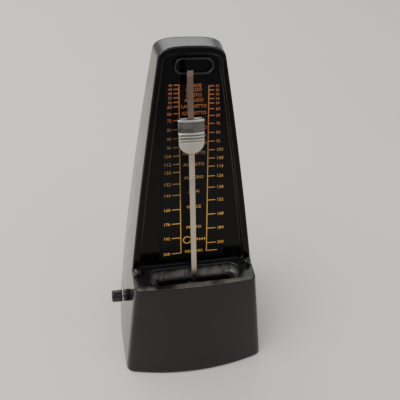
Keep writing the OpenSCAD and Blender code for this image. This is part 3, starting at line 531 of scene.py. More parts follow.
class CaseForm:
    """The case's outline in millimetres: at each height z, half widths and places of its four
    corners, joined by edges that bow outwards."""
    lean = radians(11.05)
    front_slim, upper_slim, back_slim, back_lean = 6.5e-5, 2.06e-4, 1.89e-4, 0.1168
    floor_bow, ledge_bow, back_bow, side_bow = 7.4, 2.4, 2.3, 2.9
    crown_rise, crown_power, back_flare, shoulder_flare = 8.0, 3.2, -1.9, 1.7
    ledge_setback, crown_setback, ledge_depth, border_taper = 8.6, 2.0, 18.3, 0.35
    arch_foot, arch_gap, arch_bend = 12.0, 4.1, 0.52
    lug_x, lug_forward = 38.0, 3.4
    rod_forward = 9.0
    well_half, well_depth, well_front, well_rear = 31.5, 5.5, 6.1, 8.2
    slot_half, slot_front, slot_rear = 25.0, 4.3, 3.7

    def __init__(self, sizes):
        self.top = CAD_BOX[1][2] / MM
        self.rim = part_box("case_shell")[0][2] / MM
        self.base_width = sizes.base_width / MM
        self.ledge_z = sizes.ledge_height / MM
        self.ledge_width = sizes.ledge_width / MM
        self.shoulder_width = sizes.shoulder_width / MM
        self.shoulder_z = self.top - self.crown_rise
        self.front0 = (self.floor_bow - self.back_bow - sizes.base_depth / MM) / 2
        self.back0 = self.front0 + sizes.base_depth / MM
        self.ledge_y = self.front0 + self.ledge_setback
        self.plane0 = self.ledge_y + self.ledge_depth
        rise = self.shoulder_z - self.ledge_z
        self.front_slope = ((self.base_width - self.ledge_width) / 2 / self.ledge_z
                            - self.front_slim * self.ledge_z)
        self.upper_slope = ((self.ledge_width - self.shoulder_width) / 2 / rise
                            - self.upper_slim * rise)
        self.back_slope = ((self.back_flare + (self.base_width - self.shoulder_width) / 2
                            - self.shoulder_flare) / self.shoulder_z
                           - self.back_slim * self.shoulder_z)
        self.border = sizes.frame_border / MM

    def above(self, z):
        return (z - self.ledge_z) / (self.top - self.ledge_z)

    def plane_y(self, z):
        """The leaning front."""
        return self.plane0 + (z - self.ledge_z) * tan(self.lean)

    def front_half(self, z):
        up = z - self.ledge_z
        low = self.base_width / 2 - self.front_slope * z - self.front_slim * z * z
        high = self.ledge_width / 2 - self.upper_slope * up - self.upper_slim * up * up
        return np.where(z < self.ledge_z, low, high)

    def back_half(self, z):
        return (self.base_width / 2 + self.back_flare - self.back_slope * z
                - self.back_slim * z * z)

    def front_y(self, z):
        low = self.front0 + (self.ledge_y - self.front0) * z / self.ledge_z
        high = self.ledge_y + (self.plane_y(self.top) - self.crown_setback
                               - self.ledge_y) * self.above(z)
        return np.where(z < self.ledge_z, low, high)

    def back_y(self, z):
        return self.back0 - self.back_lean * z

    def front_bow(self, z):
        return self.floor_bow + (self.ledge_bow - self.floor_bow) * z / self.ledge_z

    def side_x(self, z, t):
        """Side at height z and share t of the way back: straight, plus a bow of 4 t (1 - t) that
        fades with the square of the height left above it."""
        bow = self.side_bow * np.maximum(1 - z / self.top, 0) ** 2
        return (self.front_half(z) + (self.back_half(z) - self.front_half(z)) * t
                + bow * 4 * t * (1 - t))

    def side_y(self, z, t):
        return self.front_y(z) + (self.back_y(z) - self.front_y(z)) * t

    def share(self, y, z):
        """Share of the way back of a place on the side."""
        return (y - self.front_y(z)) / (self.back_y(z) - self.front_y(z))

    def wall_x(self, y, z):
        return self.side_x(z, self.share(y, z))

    def recess_half(self, z):
        """Half width of the recess: the outline less a frame that narrows towards the crown."""
        return (self.wall_x(self.plane_y(z), z)
                - self.border * (1 - self.border_taper * self.above(z)))

    def pinch(self, z):
        """Narrowing of the rounded crown: a superellipse from the shoulders to the top."""
        t = np.clip((z - self.shoulder_z) / self.crown_rise, 0, 1)
        return (1 - t ** self.crown_power) ** (1 / self.crown_power)


def spread(first, last, count):
    """Points on straight lines from one array of places to another, as a new first axis."""
    t = np.linspace(0, 1, count).reshape(-1, *([1] * np.ndim(first)))
    return first + (last - first) * t


def trim(strips):
    """Joins strips end to end, dropping each one's repeated first row."""
    return np.concatenate([strips[0]] + [s[1:] for s in strips[1:]])


SIDE_COUNT, BACK_ROUND, BACK_COUNT = 16, 12, 12


def back_strips(form, z, squeeze, normal, start, back_edge):
    """Strips round from a start share on the side, over the back edge, to the middle of the back.
    z, squeeze and start are arrays over the rows; normal is each row's outward (x, z)."""
    depth = form.back_y(z) - form.front_y(z)
    stop = 1 - back_edge / depth
    t = spread(start, stop, SIDE_COUNT)
    side = np.stack([squeeze * form.side_x(z, t), form.side_y(z, t), np.broadcast_to(z, t.shape)],
                    -1)
    corner = np.stack([squeeze * form.side_x(z, np.ones_like(z)), form.back_y(z), z], -1)
    inner_x = np.maximum(corner[:, 0] - back_edge * normal[:, 0], 0)
    inner_z = z - back_edge * normal[:, 1]
    half = np.maximum(form.pinch(inner_z) * form.back_half(inner_z), 1e-6)

    def back_at(x):
        return np.stack([x, form.back_y(inner_z) + form.back_bow * (1 - (x / half) ** 2),
                         np.broadcast_to(inner_z, x.shape)], -1)

    middle = back_at(spread(inner_x, 0 * inner_x, BACK_COUNT))
    return [side, bezier(side[-1], corner, middle[0], BACK_ROUND), middle]


def upper_rows(form, count, crown):
    """Heights, narrowing and outward normals of the rows: up the side, then over the crown."""
    z_side = np.linspace(form.ledge_z, form.shoulder_z, count)
    t = np.linspace(0, 1, crown)[1:]
    angle = pi / 2 * t * t * (3 - 2 * t)
    power = 2 / form.crown_power
    c, s = np.maximum(np.cos(angle), 0), np.sin(angle)
    z = np.concatenate([z_side, form.shoulder_z + form.crown_rise * s ** power])
    squeeze = np.concatenate([np.ones(count), np.where(c < 1e-9, 0, c ** power)])
    width = form.shoulder_width / 2
    nx = c ** (2 - power) / width
    nz = s ** (2 - power) / form.crown_rise
    length_n = np.hypot(nx, nz)
    normal = np.stack([np.concatenate([np.ones(count), nx / length_n]),
                       np.concatenate([np.zeros(count), nz / length_n])], -1)
    return z, squeeze, normal, np.concatenate([np.zeros(count), angle])


def upper_half(form, sizes):
    """Right half of the case above the ledge, as one grid: from the middle of the recess floor,
    up its wall, across the frame, round the outer edge, along the side and to the back."""
    count, crown = 44, 30
    edge, inner_edge = sizes.frame_edge / MM, 0.5
    depth = sizes.recess_depth / MM
    z, squeeze, normal, angle = upper_rows(form, count, crown)
    across = np.array([0, cos(form.lean), -sin(form.lean)])

    def on_plane(x, height, deep=0.0):
        return np.stack([x, form.plane_y(height), height], -1) + deep * across

    outline_x = squeeze * form.wall_x(form.plane_y(z), z)
    outline = on_plane(outline_x, z)
    corner_z, arch_z = form.top - form.arch_foot, form.top - form.arch_gap
    side_z = np.linspace(form.ledge_z, corner_z, count)
    half = form.recess_half(side_z)
    a = angle[count:]
    bend = form.arch_bend
    rim_x = np.concatenate([half, half[-1] * np.maximum(np.cos(a), 0) ** bend])
    rim_z = np.concatenate([side_z, corner_z + (arch_z - corner_z) * np.sin(a) ** bend])
    lift = np.concatenate([np.zeros(count), np.sin(a)])
    flat = np.concatenate([np.ones(count), np.cos(a)])
    rim = on_plane(rim_x, rim_z)

    def drawn_in(by, deep):
        return on_plane(np.maximum(rim_x - by * flat, 0), rim_z - by * lift, deep)

    floor_edge = drawn_in(0.9, depth)
    floor_middle = floor_edge * np.array([0, 1, 1])
    wall_low, wall_high = drawn_in(0.3, depth - 0.6), drawn_in(0.15, inner_edge)
    face_in = drawn_in(-inner_edge, 0)
    face_out = on_plane(np.maximum(outline_x - edge * normal[:, 0], 0), z - edge * normal[:, 1])
    start = form.share(form.plane_y(z) + edge, z)
    side_start = np.stack([squeeze * form.side_x(z, start), form.side_y(z, start), z], -1)
    front = [spread(floor_middle, floor_edge, 10),
             bezier(floor_edge, drawn_in(0.3, depth), wall_low, 4),
             spread(wall_low, wall_high, 3), bezier(wall_high, rim, face_in, 5),
             spread(face_in, face_out, 5), bezier(face_out, outline, side_start, 8)]
    back = back_strips(form, z, squeeze, normal, start, sizes.back_edge / MM)
    return trim(front + back), len(trim(front))


def lower_half(form, sizes):
    """Right half of the case below the ledge: from the middle of the front, round the front
    corner, along the side and to the back, with a rounded edge at the ledge."""
    edge, corner_r = sizes.ledge_edge / MM, sizes.front_corner / MM
    turn = np.linspace(0, pi / 2, 7)
    z_low = np.concatenate([form.ledge_z - edge * (1 - np.cos(turn)),
                            np.linspace(form.ledge_z - edge, form.rim + 0.8, 26)[1:],
                            [form.rim + 0.2, form.rim]])
    inset = np.zeros_like(z_low)
    inset[:7] = edge * (1 - np.sin(turn))
    rim_in = np.zeros_like(z_low)
    rim_in[-2:] = 0.25, 0.8
    z = z_low
    depth = form.back_y(z) - form.front_y(z)
    width = form.front_half(z)

    def front_at(s):
        return np.stack([width * s, form.front_y(z) - form.front_bow(z) * (1 - s * s),
                         np.broadcast_to(z, s.shape)], -1)

    def side_at(t):
        return np.stack([form.side_x(z, t), form.side_y(z, t), np.broadcast_to(z, t.shape)], -1)

    front = front_at(spread(np.zeros_like(z), 1 - corner_r / width, 20))
    corner = front_at(np.ones_like(z))
    start = form.share(form.plane_y(np.full_like(z, form.ledge_z)) + sizes.frame_edge / MM, z)
    side = side_at(spread(corner_r / depth, start, 12))
    strips = [front, bezier(front[-1], corner, side[0], 10), side]
    count = len(trim(strips))
    back = back_strips(form, z, np.ones_like(z), np.stack([np.ones_like(z), 0 * z], -1), start,
                       sizes.back_edge / MM)
    grid = trim(strips + back)
    fade = np.ones(len(grid))
    fade[count - 12:count] = np.linspace(1, 0, 12)
    fade[count:] = 0
    pull = fade[:, None] * inset[None, :] + rim_in[None, :]
    middle = np.array([0.0, 4.0])
    toward = middle - grid[..., :2]
    toward /= np.linalg.norm(toward, axis=-1)[..., None]
    grid[..., :2] += pull[..., None] * toward
    return grid, count


def ledge_and_well(form, outer, ends):
    """Ledge between its outer line and the well, the well's walls and floor, and the slot. The
    well's foot is a wide hollow round at its rear and its ends. outer is the ledge's outline from
    the middle of the front to the middle of the recess floor; ends are the places in it where the
    well's end begins and stops."""
    rod_y = form.plane0 - form.rod_forward / cos(form.lean)
    counts = (ends[0] + 1, ends[1] - ends[0] + 1, len(outer) - ends[1])

    def loop(z, reach, before, behind, square=False):
        """Half of the well's outline at one height, front to rear, from its distances before and
        behind the rod."""
        y = rod_y + (z - form.ledge_z) * tan(form.lean)
        low, high = y - before / cos(form.lean), y + behind / cos(form.lean)
        straight = reach if square else reach - (high - low) / 2
        front = spread(np.array([0, low]), np.array([straight, low]), counts[0])
        rear = spread(np.array([straight, high]), np.array([0, high]), counts[2])
        if square:
            end = spread(front[-1], rear[0], counts[1])
        else:
            a = np.linspace(-pi / 2, pi / 2, counts[1])
            end = np.stack([straight + (high - low) / 2 * np.cos(a),
                            (low + high) / 2 + (high - low) / 2 * np.sin(a)], -1)
        flat = np.concatenate([front, end[1:], rear[1:]])
        return np.concatenate([flat, np.full((len(flat), 1), z)], 1)

    lip, ledge, low_z = 0.8, form.ledge_z, form.ledge_z - form.well_depth
    half, before, behind = form.well_half, form.well_front, form.well_rear
    slot = (form.slot_half, form.slot_front, form.slot_rear, True)
    rim = loop(ledge, half + lip, before + lip, behind + lip)
    wall = loop(ledge - lip, half, before, behind)
    floor = loop(low_z, half - 5.0, form.slot_front + 0.2, form.slot_rear + 0.3)
    mouth = loop(low_z - 0.15, *slot)
    return trim([spread(outer, rim, 5), bezier(rim, loop(ledge, half, before, behind), wall, 6),
                 bezier(wall, loop(low_z, half - 0.6, before - 0.2, behind - 0.6), floor, 12),
                 spread(floor, mouth, 3), spread(mouth, loop(low_z - 4, *slot), 3)])


def build_case(sizes, gloss, satin, deep):
    """The case's skin in one mesh, given a wall; its front below the ledge is satin, and the leaning
    front has a darker copy of the plastic, painted shade."""
    form = CaseForm(sizes)
    upper, front_count = upper_half(form, sizes)
    lower, side_count = lower_half(form, sizes)
    ledge_line = lower[:side_count, 0]
    frame_line = upper[:front_count, 0][::-1]
    outer = np.concatenate([ledge_line, frame_line[1:]])
    floor_turn = len(outer) - 13
    well = ledge_and_well(form, outer, (24, floor_turn))
    lug_y = form.plane0 - form.lug_forward
    lug = [(0, 3.3), (2.6, 2.9), (3.9, 2.7), (4.5, 2.2), (4.75, 1.4), (4.8, 0.001)]
    grids = []
    for grid in (upper, lower, well):
        grids += [(grid, False), (mirrored(grid), False)]
    for side in (-1, 1):
        grids.append((lathe(lug, 28, (side * form.lug_x, lug_y, form.ledge_z - 0.2),
                             (0, 0, 1)), True))
    case = piece("case", grids, gloss, "case")
    case.data.materials.append(satin)
    case.data.materials.append(deep)
    mesh = case.data
    centres = read_vectors(mesh.polygons, "center") / MM
    normals = read_vectors(mesh.polygons, "normal")
    front = (centres[:, 2] < form.ledge_z - 1.2) & (normals[:, 1] < -0.55)
    front &= centres[:, 1] < form.ledge_y + 1
    facing = normals @ np.array([0, -cos(form.lean), sin(form.lean)])
    # Faces of the leaning front take the darker copy of the plastic: painted shade.
    leaning = (facing > 0.985) & (centres[:, 2] > form.ledge_z + 0.02)
    mesh.polygons.foreach_set("material_index", front.astype(np.int32) + 2 * leaning)
    wall = case.modifiers.new("wall", "SOLIDIFY")
    wall.thickness = 1.2 * MM
    wall.offset = -1.0
    weighted(case)
    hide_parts("case_shell")
    return case


def build_rings(sizes, gloss):
    """Sleeve behind the bell knob, as thick as the knob, and a low collar round the winding
    arbor."""
    form = CaseForm(sizes)
    low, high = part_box("selector_knob")
    wide, gap = (high[1] - low[1]) / 2 / MM, 0.6
    for name, node, side, inner in (("bell_sleeve", "pull_rod", -1, 1.75),
                                    ("winding_collar", "barrel_arbor", 1, 3.3)):
        low_end, high_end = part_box(node)
        y, z = (low_end[1] + high_end[1]) / 2 / MM, (low_end[2] + high_end[2]) / 2 / MM
        x = float(form.wall_x(y, z))
        outer, tall = (wide, -high[0] / MM - gap - x) if side < 0 else (5.4, 0.8)
        profile = [(-1.5, inner), (tall - 0.25, inner), (tall, inner + 0.25), (tall, outer - 0.5),
                   (tall - 0.15, outer - 0.15), (tall - 0.5, outer), (-1.5, outer), (-1.5, inner)]
        ring = piece(name, [(lathe(profile, 48, (side * x, y, z), (side, 0, 0)), True)], gloss,
                     "case")


# ---------------------------------------------------------------- front pieces

def front_turn(form):
    """Turn that leans local z back with the front."""
    return Matrix.Rotation(-form.lean, 3, "X")


def build_catch(sizes, gloss):
    """Catch for the rod's tip: a rounded rim round a stadium, on the recess floor."""
    form = CaseForm(sizes)
    deep = sizes.recess_depth / MM
    centre = (form.top - 11.0 - form.ledge_z) / cos(form.lean)
    loop = stadium(11.0, 4.2, 20, centre)
    section = rounded_section(1.2, 3.4, 0.5, 6)
    section = section + np.array([0.0, deep - 1.7])
    origin = (1.2, form.plane0, form.ledge_z)
    rim = sweep(loop, section, front_turn(form), origin)
    catch = piece("rod_catch", [(rim, True)], gloss, "case")
    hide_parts("rod_clip")


SLOW_TO_FAST_LEFT = list(range(40, 60, 4)) + list(range(60, 72, 6)) + list(range(72, 120, 8)) \
    + list(range(120, 144, 12)) + list(range(144, 209, 16))
SLOW_TO_FAST_RIGHT = list(range(42, 60, 4)) + list(range(63, 72, 6)) + list(range(76, 120, 8)) \
    + list(range(126, 144, 12)) + list(range(152, 201, 16))
TEMPO_WORDS = (("GRAVE", 41), ("LARGO", 45), ("LENTO", 50), ("ADAGIO", 54.5), ("LARGHETTO", 60),
               ("ADAGIETTO", 66), ("ANDANTE", 73), ("ANDANTINO", 79), ("MAESTOSO", 86),
               ("MODERATO", 93), ("ALLEGRETTO", 102), ("ANIMATO", 113), ("ALLEGRO", 126),
               ("ASSAI", 141), ("VIVACE", 158), ("PRESTO", 181), ("PRESTISSIMO", 207))


def tempo_slope(form, beats):
    """Place of a tempo's mark up the leaning front, from the ledge. A compound pendulum that beats
    n times a minute has its weight at r, where r^2 + k r = k B - A, k = g cos(lean) (60 / pi n)^2,
    and A and B are the lower bob's inertia and moment over the weight's mass."""
    gravity, inertia, moment, pivot = 9810.0, 10023.6, 149.27, 65.7
    k = gravity * cos(form.lean) * (60 / (beats * pi)) ** 2
    reach = (-k + sqrt(k * k + 4 * (k * moment - inertia))) / 2
    return pivot + reach - form.ledge_z / cos(form.lean)


def print_text(words, size, x, z, align="CENTER", room=100.0):
    """Mesh corners and faces of one word on the plate, centred on its height and narrowed to the
    room that it has."""
    curve = bpy.data.curves.new("word", "FONT")
    curve.body = words
    curve.size = size
    curve.align_x = align
    curve.resolution_u = 2
    curve.offset = size * 0.012
    holder = bpy.data.objects.new("word", curve)
    bpy.context.scene.collection.objects.link(holder)
    mesh = bpy.data.meshes.new_from_object(holder)
    corners = read_vectors(mesh.vertices, "co")
    faces = [list(face.vertices) for face in mesh.polygons]
    for block, data in ((bpy.data.objects, holder), (bpy.data.curves, curve),
                        (bpy.data.meshes, mesh)):
        block.remove(data)
    squeeze = min(1.0, room / (0.62 / 0.95 * size * len(words)))
    placed = np.stack([x + corners[:, 0] * squeeze, np.zeros(len(corners)),
                       z - 0.36 * size + corners[:, 1]], -1)
    return placed, faces


def build_print(sizes, ink):
    """Scale print: two upright lines with a mark and a number for each tempo, and the words."""
    form = CaseForm(sizes)
    size = sizes.print_height / MM
    left_x, right_x, stroke, mark, growth = -7.5, 10.4, 0.6, 3.0, 3.6 / 168
    slowest, fastest = 40, 208
    bottom = tempo_slope(form, fastest)
    parts = []

    def bar(x0, x1, z0, z1):
        corners = [(x0, 0, z0), (x1, 0, z0), (x1, 0, z1), (x0, 0, z1)]
        parts.append((np.array(corners, float), [[0, 1, 2, 3]]))

    for x, way, tempos in ((left_x, -1, SLOW_TO_FAST_LEFT), (right_x, 1, SLOW_TO_FAST_RIGHT)):
        bar(x - stroke / 2, x + stroke / 2, bottom - stroke / 2,
            tempo_slope(form, tempos[0]) + stroke / 2)
        for beats in tempos:
            z = tempo_slope(form, beats)
            reach = mark + growth * (beats - slowest)
            low, high = sorted((x + way * stroke / 2, x + way * reach))
            bar(low, high, z - stroke / 2, z + stroke / 2)
            small = size * (0.72 if beats < 60 else 0.9 if beats < 100 else 1.0)
            parts.append(print_text(str(beats), small, x + way * (reach + 1.0), z,
                                    "RIGHT" if way < 0 else "LEFT"))
    bar(right_x + stroke / 2, right_x + 7.5, bottom - stroke / 2, bottom + stroke / 2)
    middle = (left_x + right_x) / 2
    for word, beats in TEMPO_WORDS:
        parts.append(print_text(word, 0.95 * size, middle, tempo_slope(form, beats), room=15.9))
    row_z = tempo_slope(form, 195)
    steps = 24
    turn = np.linspace(0.18 * pi, 1.9 * pi, steps + 1)
    ring = np.stack([np.cos(turn), 0 * turn, np.sin(turn)], -1)
    centre = np.array([middle - 4.6, 0, row_z])
    parts.append((np.concatenate([centre + 2.9 * ring, centre + 2.2 * ring]),
                  [[k, k + 1, steps + 2 + k, steps + 1 + k] for k in range(steps)]))
    for k in range(4):
        gem = np.array([middle + 2.4 + 1.7 * k, 0, row_z])
        gem = gem + [(0, 0, -1.1), (0.7, 0, 0), (0, 0, 1.1), (-0.7, 0, 0)]
        parts.append((gem, [[0, 1, 2, 3]]))
    corners, faces, start = [], [], 0
    for points, cells in parts:
        corners.append(points)
        faces += [[start + k for k in cell] for cell in cells]
        start += len(points)
    proud = 0.04
    local = np.concatenate(corners) + np.array([0, sizes.recess_depth / MM - 0.6 - proud, 0])
    placed = carried(front_turn(form), (0, form.plane0, form.ledge_z), local)
    mesh = bpy.data.meshes.new("scale_print")
    mesh.from_pydata((placed * MM).tolist(), [], faces)
    work = bmesh.new()
    work.from_mesh(mesh)
    toward = Vector((0, -cos(form.lean), sin(form.lean)))
    for face in work.faces:
        if face.normal.dot(toward) < 0:
            face.normal_flip()
    work.to_mesh(mesh)
    work.free()
    mesh.materials.append(ink)
    made = bpy.data.objects.new("scale_print", mesh)
    bpy.context.scene.collection.objects.link(made)
    layer = made.modifiers.new("ink", "SOLIDIFY")
    layer.thickness = proud * MM
    layer.offset = -1.0
    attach(made, "case")


# ---------------------------------------------------------------- pendulum pieces

def pendulum_turn():
    """Turn from pendulum coordinates (x across, y along the staff, z up the rod) to the frame."""
    along = Vector(SLIDE["axis"]).normalized()
    back = Vector(HINGE["axis"]).normalized()
    across = back.cross(along)
    return Matrix((across, back, along)).transposed()


def pendulum_origin():
    return [c / MM for c in HINGE["pos_m"]]


def reach_of(node):
    """Lowest and highest place of a node along the rod, in millimetres from the pivot."""
    points = read_vectors(frame["nodes"][node].data.vertices, "co") / MM
    local = (points - np.array(pendulum_origin())) @ np.array(pendulum_turn())
    return local[:, 2].min(), local[:, 2].max()


def build_rod(sizes, steel):
    """Rod: a rounded strip carried from the lower bob to a tip that is bent forward."""
    low, high = reach_of("pendulum_rod")
    bend = 3.0
    lean = radians(24)
    t = np.linspace(0, 1, 10)
    straight = np.concatenate([[low], np.linspace(low, high - bend - 1.2, 60)[1:]])
    curve_z = high - bend - 1.2 + t * 2.0
    curve_y = -0.5 * tan(lean) * 2.0 * t ** 2
    tip_z = np.array([high - 0.02])
    tip_y = curve_y[-1] - (tip_z - curve_z[-1]) * tan(lean)
    path_z = np.concatenate([straight, curve_z[1:], tip_z])
    path_y = np.concatenate([0 * straight, curve_y[1:], tip_y])
    section = rounded_section(sizes.rod_width / MM, sizes.rod_thickness / MM, 0.16, 4)
    grid = np.stack([np.broadcast_to(section[None, :, 0], (len(path_z), len(section))),
                     path_y[:, None] + section[None, :, 1],
                     np.broadcast_to(path_z[:, None], (len(path_z), len(section)))], -1)
    grids = [grid]
    for cap in (grid[:1], grid[-1:]):
        centre = cap.mean(axis=1, keepdims=True)
        grids.append(np.concatenate([cap, np.broadcast_to(centre, cap.shape)]))
    grids = [(carried(pendulum_turn(), pendulum_origin(), g), True) for g in grids]
    rod = piece("rod", grids, steel, "pendulum")
    weighted(rod)
    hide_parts("pendulum_rod")


def build_weight(nickel):
    """Sliding weight: straight sides and a round bottom. Its front is a height field, thickest at
    three ribs, falling in a curve to the bottom, bowed across and rounded at its outline."""
    low, high = reach_of("sliding_weight")
    turn, origin = pendulum_turn(), pendulum_origin()
    r = 7.83
    straight = high - low - r
    rows_top = np.linspace(0, straight, 110)
    angle = np.linspace(0, pi / 2, 60)[1:]
    z = high - np.concatenate([rows_top, straight + r * np.sin(angle)])
    half = np.concatenate([np.full(110, r), r * np.maximum(np.cos(angle), 0)])
    u = np.sin(np.linspace(-pi / 2, pi / 2, 57))
    x = half[:, None] * u[None, :]
    down = (high - z)[:, None] * np.ones_like(x)
    below = np.maximum(down - straight, 0)
    to_side = np.where(below > 0, r - np.hypot(x, below), r - np.abs(x))
    edge = 0.9
    inside = np.clip(np.minimum(to_side, down) / edge, 0, 1)
    fall = edge * (1 - np.sqrt(1 - (1 - inside) ** 2))
    rib_top, pitch, rib = 8.2, 1.95, 1.05
    full = 3.3
    body = np.where(down < rib_top, full - 0.75 + 0.5 * down / rib_top,
                    full - 1.7 * np.clip((down - rib_top - 2 * pitch) / (high - low - rib_top
                                                                         - 2 * pitch), 0, 1) ** 1.7)
    ribs = np.zeros_like(x)
    for k in range(3):
        ribs += np.exp(-(((down - rib_top - 0.8 - k * pitch) / (rib / 2)) ** 4)) * 0.55
    front = -(body - 0.55 + ribs - 0.9 * (x / r) ** 2 - fall)
    back = 2.6
    front = np.minimum(front, back - 0.4)
    front_grid = np.stack([x, front, z[:, None] * np.ones_like(x)], -1)
    back_grid = np.stack([x, np.full_like(x, back), z[:, None] * np.ones_like(x)], -1)
    loop = np.concatenate([front_grid, back_grid[:, ::-1]], 1)
    middle = np.array([0, -0.1, 0])
    rim = loop[0]
    inner = middle + (rim - middle) * np.array([0.84, 0.62, 0])
    inner[:, 2] = rim[:, 2]
    deep = inner - np.array([0, 0, 2.4])
    count = front_grid.shape[1]
    cap = np.stack([deep[:count], deep[count:][::-1]])
    grids = [(loop, True), (np.stack([rim, inner, deep]), True), (cap, False)]
    placed = [(carried(turn, origin, grid), wrap) for grid, wrap in grids]
    weight = piece("weight", placed, nickel, "weight")
    weighted(weight)
    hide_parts("sliding_weight")


# ---------------------------------------------------------------- controls and feet

def middle_of(node):
    low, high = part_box(node)
    return [(a + b) / 2 / MM for a, b in zip(low, high)]


def build_knob(plastic):
    """Bell knob: a plain turned cylinder with rounded ends and a bore for its rod."""
    low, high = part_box("selector_knob")
    x0, x1 = low[0] / MM, high[0] / MM
    _, y, z = middle_of("selector_knob")
    r = (high[1] - low[1]) / 2 / MM
    long = x1 - x0
    profile = [(0.0, 0.001), (0.0, r - 1.0), (0.12, r - 0.55), (0.4, r - 0.2), (0.9, r - 0.02)]
    profile += [(1.2, r), (long - 0.8, r), (long - 0.3, r - 0.15), (long - 0.05, r - 0.45),
                (long, r - 0.8), (long, 1.5)]
    grid = lathe(profile, 64, (x0, y, z), (1, 0, 0))
    knob = piece("bell_knob", [(grid, True)], plastic, "selector")
    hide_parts("selector_knob")


def build_key(steel):
    """Winding key: a turned hub between two wings, cut as one waisted plate with rounded edges."""
    low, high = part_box("winding_key")
    x0, x1 = low[0] / MM, high[0] / MM
    _, y, z = middle_of("winding_key")
    hub = [(0, 3.1), (0, 4.2), (0.25, 4.5), (1.6, 4.5), (2.0, 4.1), (3.0, 3.9), (3.4, 3.6),
           (3.4, 0.001)]
    grids = [(lathe(hub, 48, (x0, y, z), (1, 0, 0)), True)]
    a = np.linspace(0, 2 * pi, 120, endpoint=False)
    span, waist = 13.5, 4.0
    swell = waist + 2.4 * np.abs(np.cos(a)) ** 3
    outline = np.stack([span * np.cos(a), swell * np.sin(a)], -1)
    thick, edge = 1.5, 0.7
    middle_x = x1 - thick
    q = np.linspace(-pi / 2, pi / 2, 9)
    draw = edge * (1 - np.cos(q))
    deep = (thick - edge) * np.sign(np.sin(q)) * (np.abs(q) > 0.01) + edge * np.sin(q)
    scale = 1 - draw[:, None, None] / np.linalg.norm(outline, axis=1)[None, :, None]
    shell = outline[None] * scale
    rings = np.concatenate([shell[:1] * 0, shell, shell[-1:] * 0])
    deep = np.concatenate([deep[:1], deep, deep[-1:]])
    tilt = radians(20)
    wide = rings[..., 0] * cos(tilt) - rings[..., 1] * sin(tilt)
    tall = rings[..., 0] * sin(tilt) + rings[..., 1] * cos(tilt)
    depth = np.broadcast_to((middle_x + deep)[:, None], wide.shape)
    grids.append((np.stack([depth, y + wide, z + tall], -1), True))
    key = piece("wing_key", grids, steel, "winding")
    weighted(key)
    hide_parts("winding_key")


def build_feet(rubber):
    """Four rubber feet: flat discs with a rounded lower edge and a hollow for the screw."""
    low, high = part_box("rubber_feet")
    r = 5.0
    tall = (high[2] - low[2]) / MM
    profile = [(tall, 0.001), (tall, r - 0.1), (tall - 0.2, r), (0.6, r - 0.05), (0.2, r - 0.25),
               (0.0, r - 0.7), (0.0, 2.6), (0.3, 2.3), (0.9, 2.2), (0.9, 0.001)]
    grids = []
    for x in (low[0] / MM + r, high[0] / MM - r):
        for y in (low[1] / MM + r, high[1] / MM - r):
            grids.append((lathe(profile, 48, (x, y, 0), (0, 0, 1)), True))
    feet = piece("feet", grids, rubber, "case")
    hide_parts("rubber_feet")


# ---------------------------------------------------------------- operators

def sizes_of(context):
    return context.scene.metronome_sizes


class METRONOME_OT_case(bpy.types.Operator):
    """Build the moulded case and its collars"""
    bl_idname = "metronome.case"
    bl_label = "Case"

    def execute(self, context):
        gloss = case_plastic()
        build_case(sizes_of(context), gloss, base_plastic(), front_plastic())
        build_rings(sizes_of(context), gloss)
        build_catch(sizes_of(context), gloss)
        build_knob(gloss)
        finish_node("base_plate", gloss)
        return {"FINISHED"}


class METRONOME_OT_scale(bpy.types.Operator):
    """Print the scale on its plate"""
    bl_idname = "metronome.scale"
    bl_label = "Scale"

    def execute(self, context):
        finish_node("scale_plate", plate_black())
        build_print(sizes_of(context), scale_print())
        return {"FINISHED"}


class METRONOME_OT_pendulum(bpy.types.Operator):
    """Build the rod and the sliding weight"""
    bl_idname = "metronome.pendulum"
    bl_label = "Pendulum"

    def execute(self, context):
        build_rod(sizes_of(context), rod_steel())
        build_weight(weight_plating(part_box("sliding_weight")[1][2]))
        return {"FINISHED"}


class METRONOME_OT_controls(bpy.types.Operator):
    """Build the winding key and the feet"""
    bl_idname = "metronome.controls"
    bl_label = "Key and feet"

    def execute(self, context):
        colours = context.scene.metronome_colours
        build_key(metal("key_steel", colours.steel, 0.24, 240.0, (1.0, 0.08, 1.0)))
        build_feet(rubber_black())
        return {"FINISHED"}


def finish_node(name, material):
    """Gives a node of the frame its material."""
    mesh = frame["nodes"][name].data
    mesh.materials.clear()
    mesh.materials.append(material)


class METRONOME_OT_movement(bpy.types.Operator):
    """Finish the movement inside the case by the record's material slots"""
    bl_idname = "metronome.movement"
    bl_label = "Movement"

    def execute(self, context):
        colours = context.scene.metronome_colours
        finishes = {
            "brass": metal("brass_lapped", colours.brass, 0.24, 260.0, (1.0, 0.06, 1.0)),
            "steel": metal("steel_drawn", colours.steel, 0.22, 320.0, (0.05, 1.0, 1.0)),
            "blued_steel": metal("steel_blued", shade(colours.steel, 0.38), 0.3, 280.0, (1.0, 1.0, 0.2)),
            "bell_nickel": metal("bell_plating", colours.nickel, 0.1, 180.0, (1.0, 1.0, 0.1),
                                 0.06, 0.15),
            "bob_metal": metal("bob_lead", (0.3, 0.3, 0.32), 0.5, 120.0, (1.0, 1.0, 1.0)),
        }
        shown = {row["node"]: row["material_slot"] for row in frame["record"]["subparts"]}
        for name, slot in shown.items():
            if slot in finishes and not frame["nodes"][name].hide_render:
                finish_node(name, finishes[slot])
        return {"FINISHED"}


class METRONOME_OT_stage(bpy.types.Operator):
    """Set the pale floor, the soft lights and the camera"""
    bl_idname = "metronome.stage"
    bl_label = "Stage"

    def execute(self, context):
        build_floor(context.scene.metronome_colours.floor)
        build_lights(context.scene)
        build_camera(context.scene)
        return {"FINISHED"}


# ---------------------------------------------------------------- stage

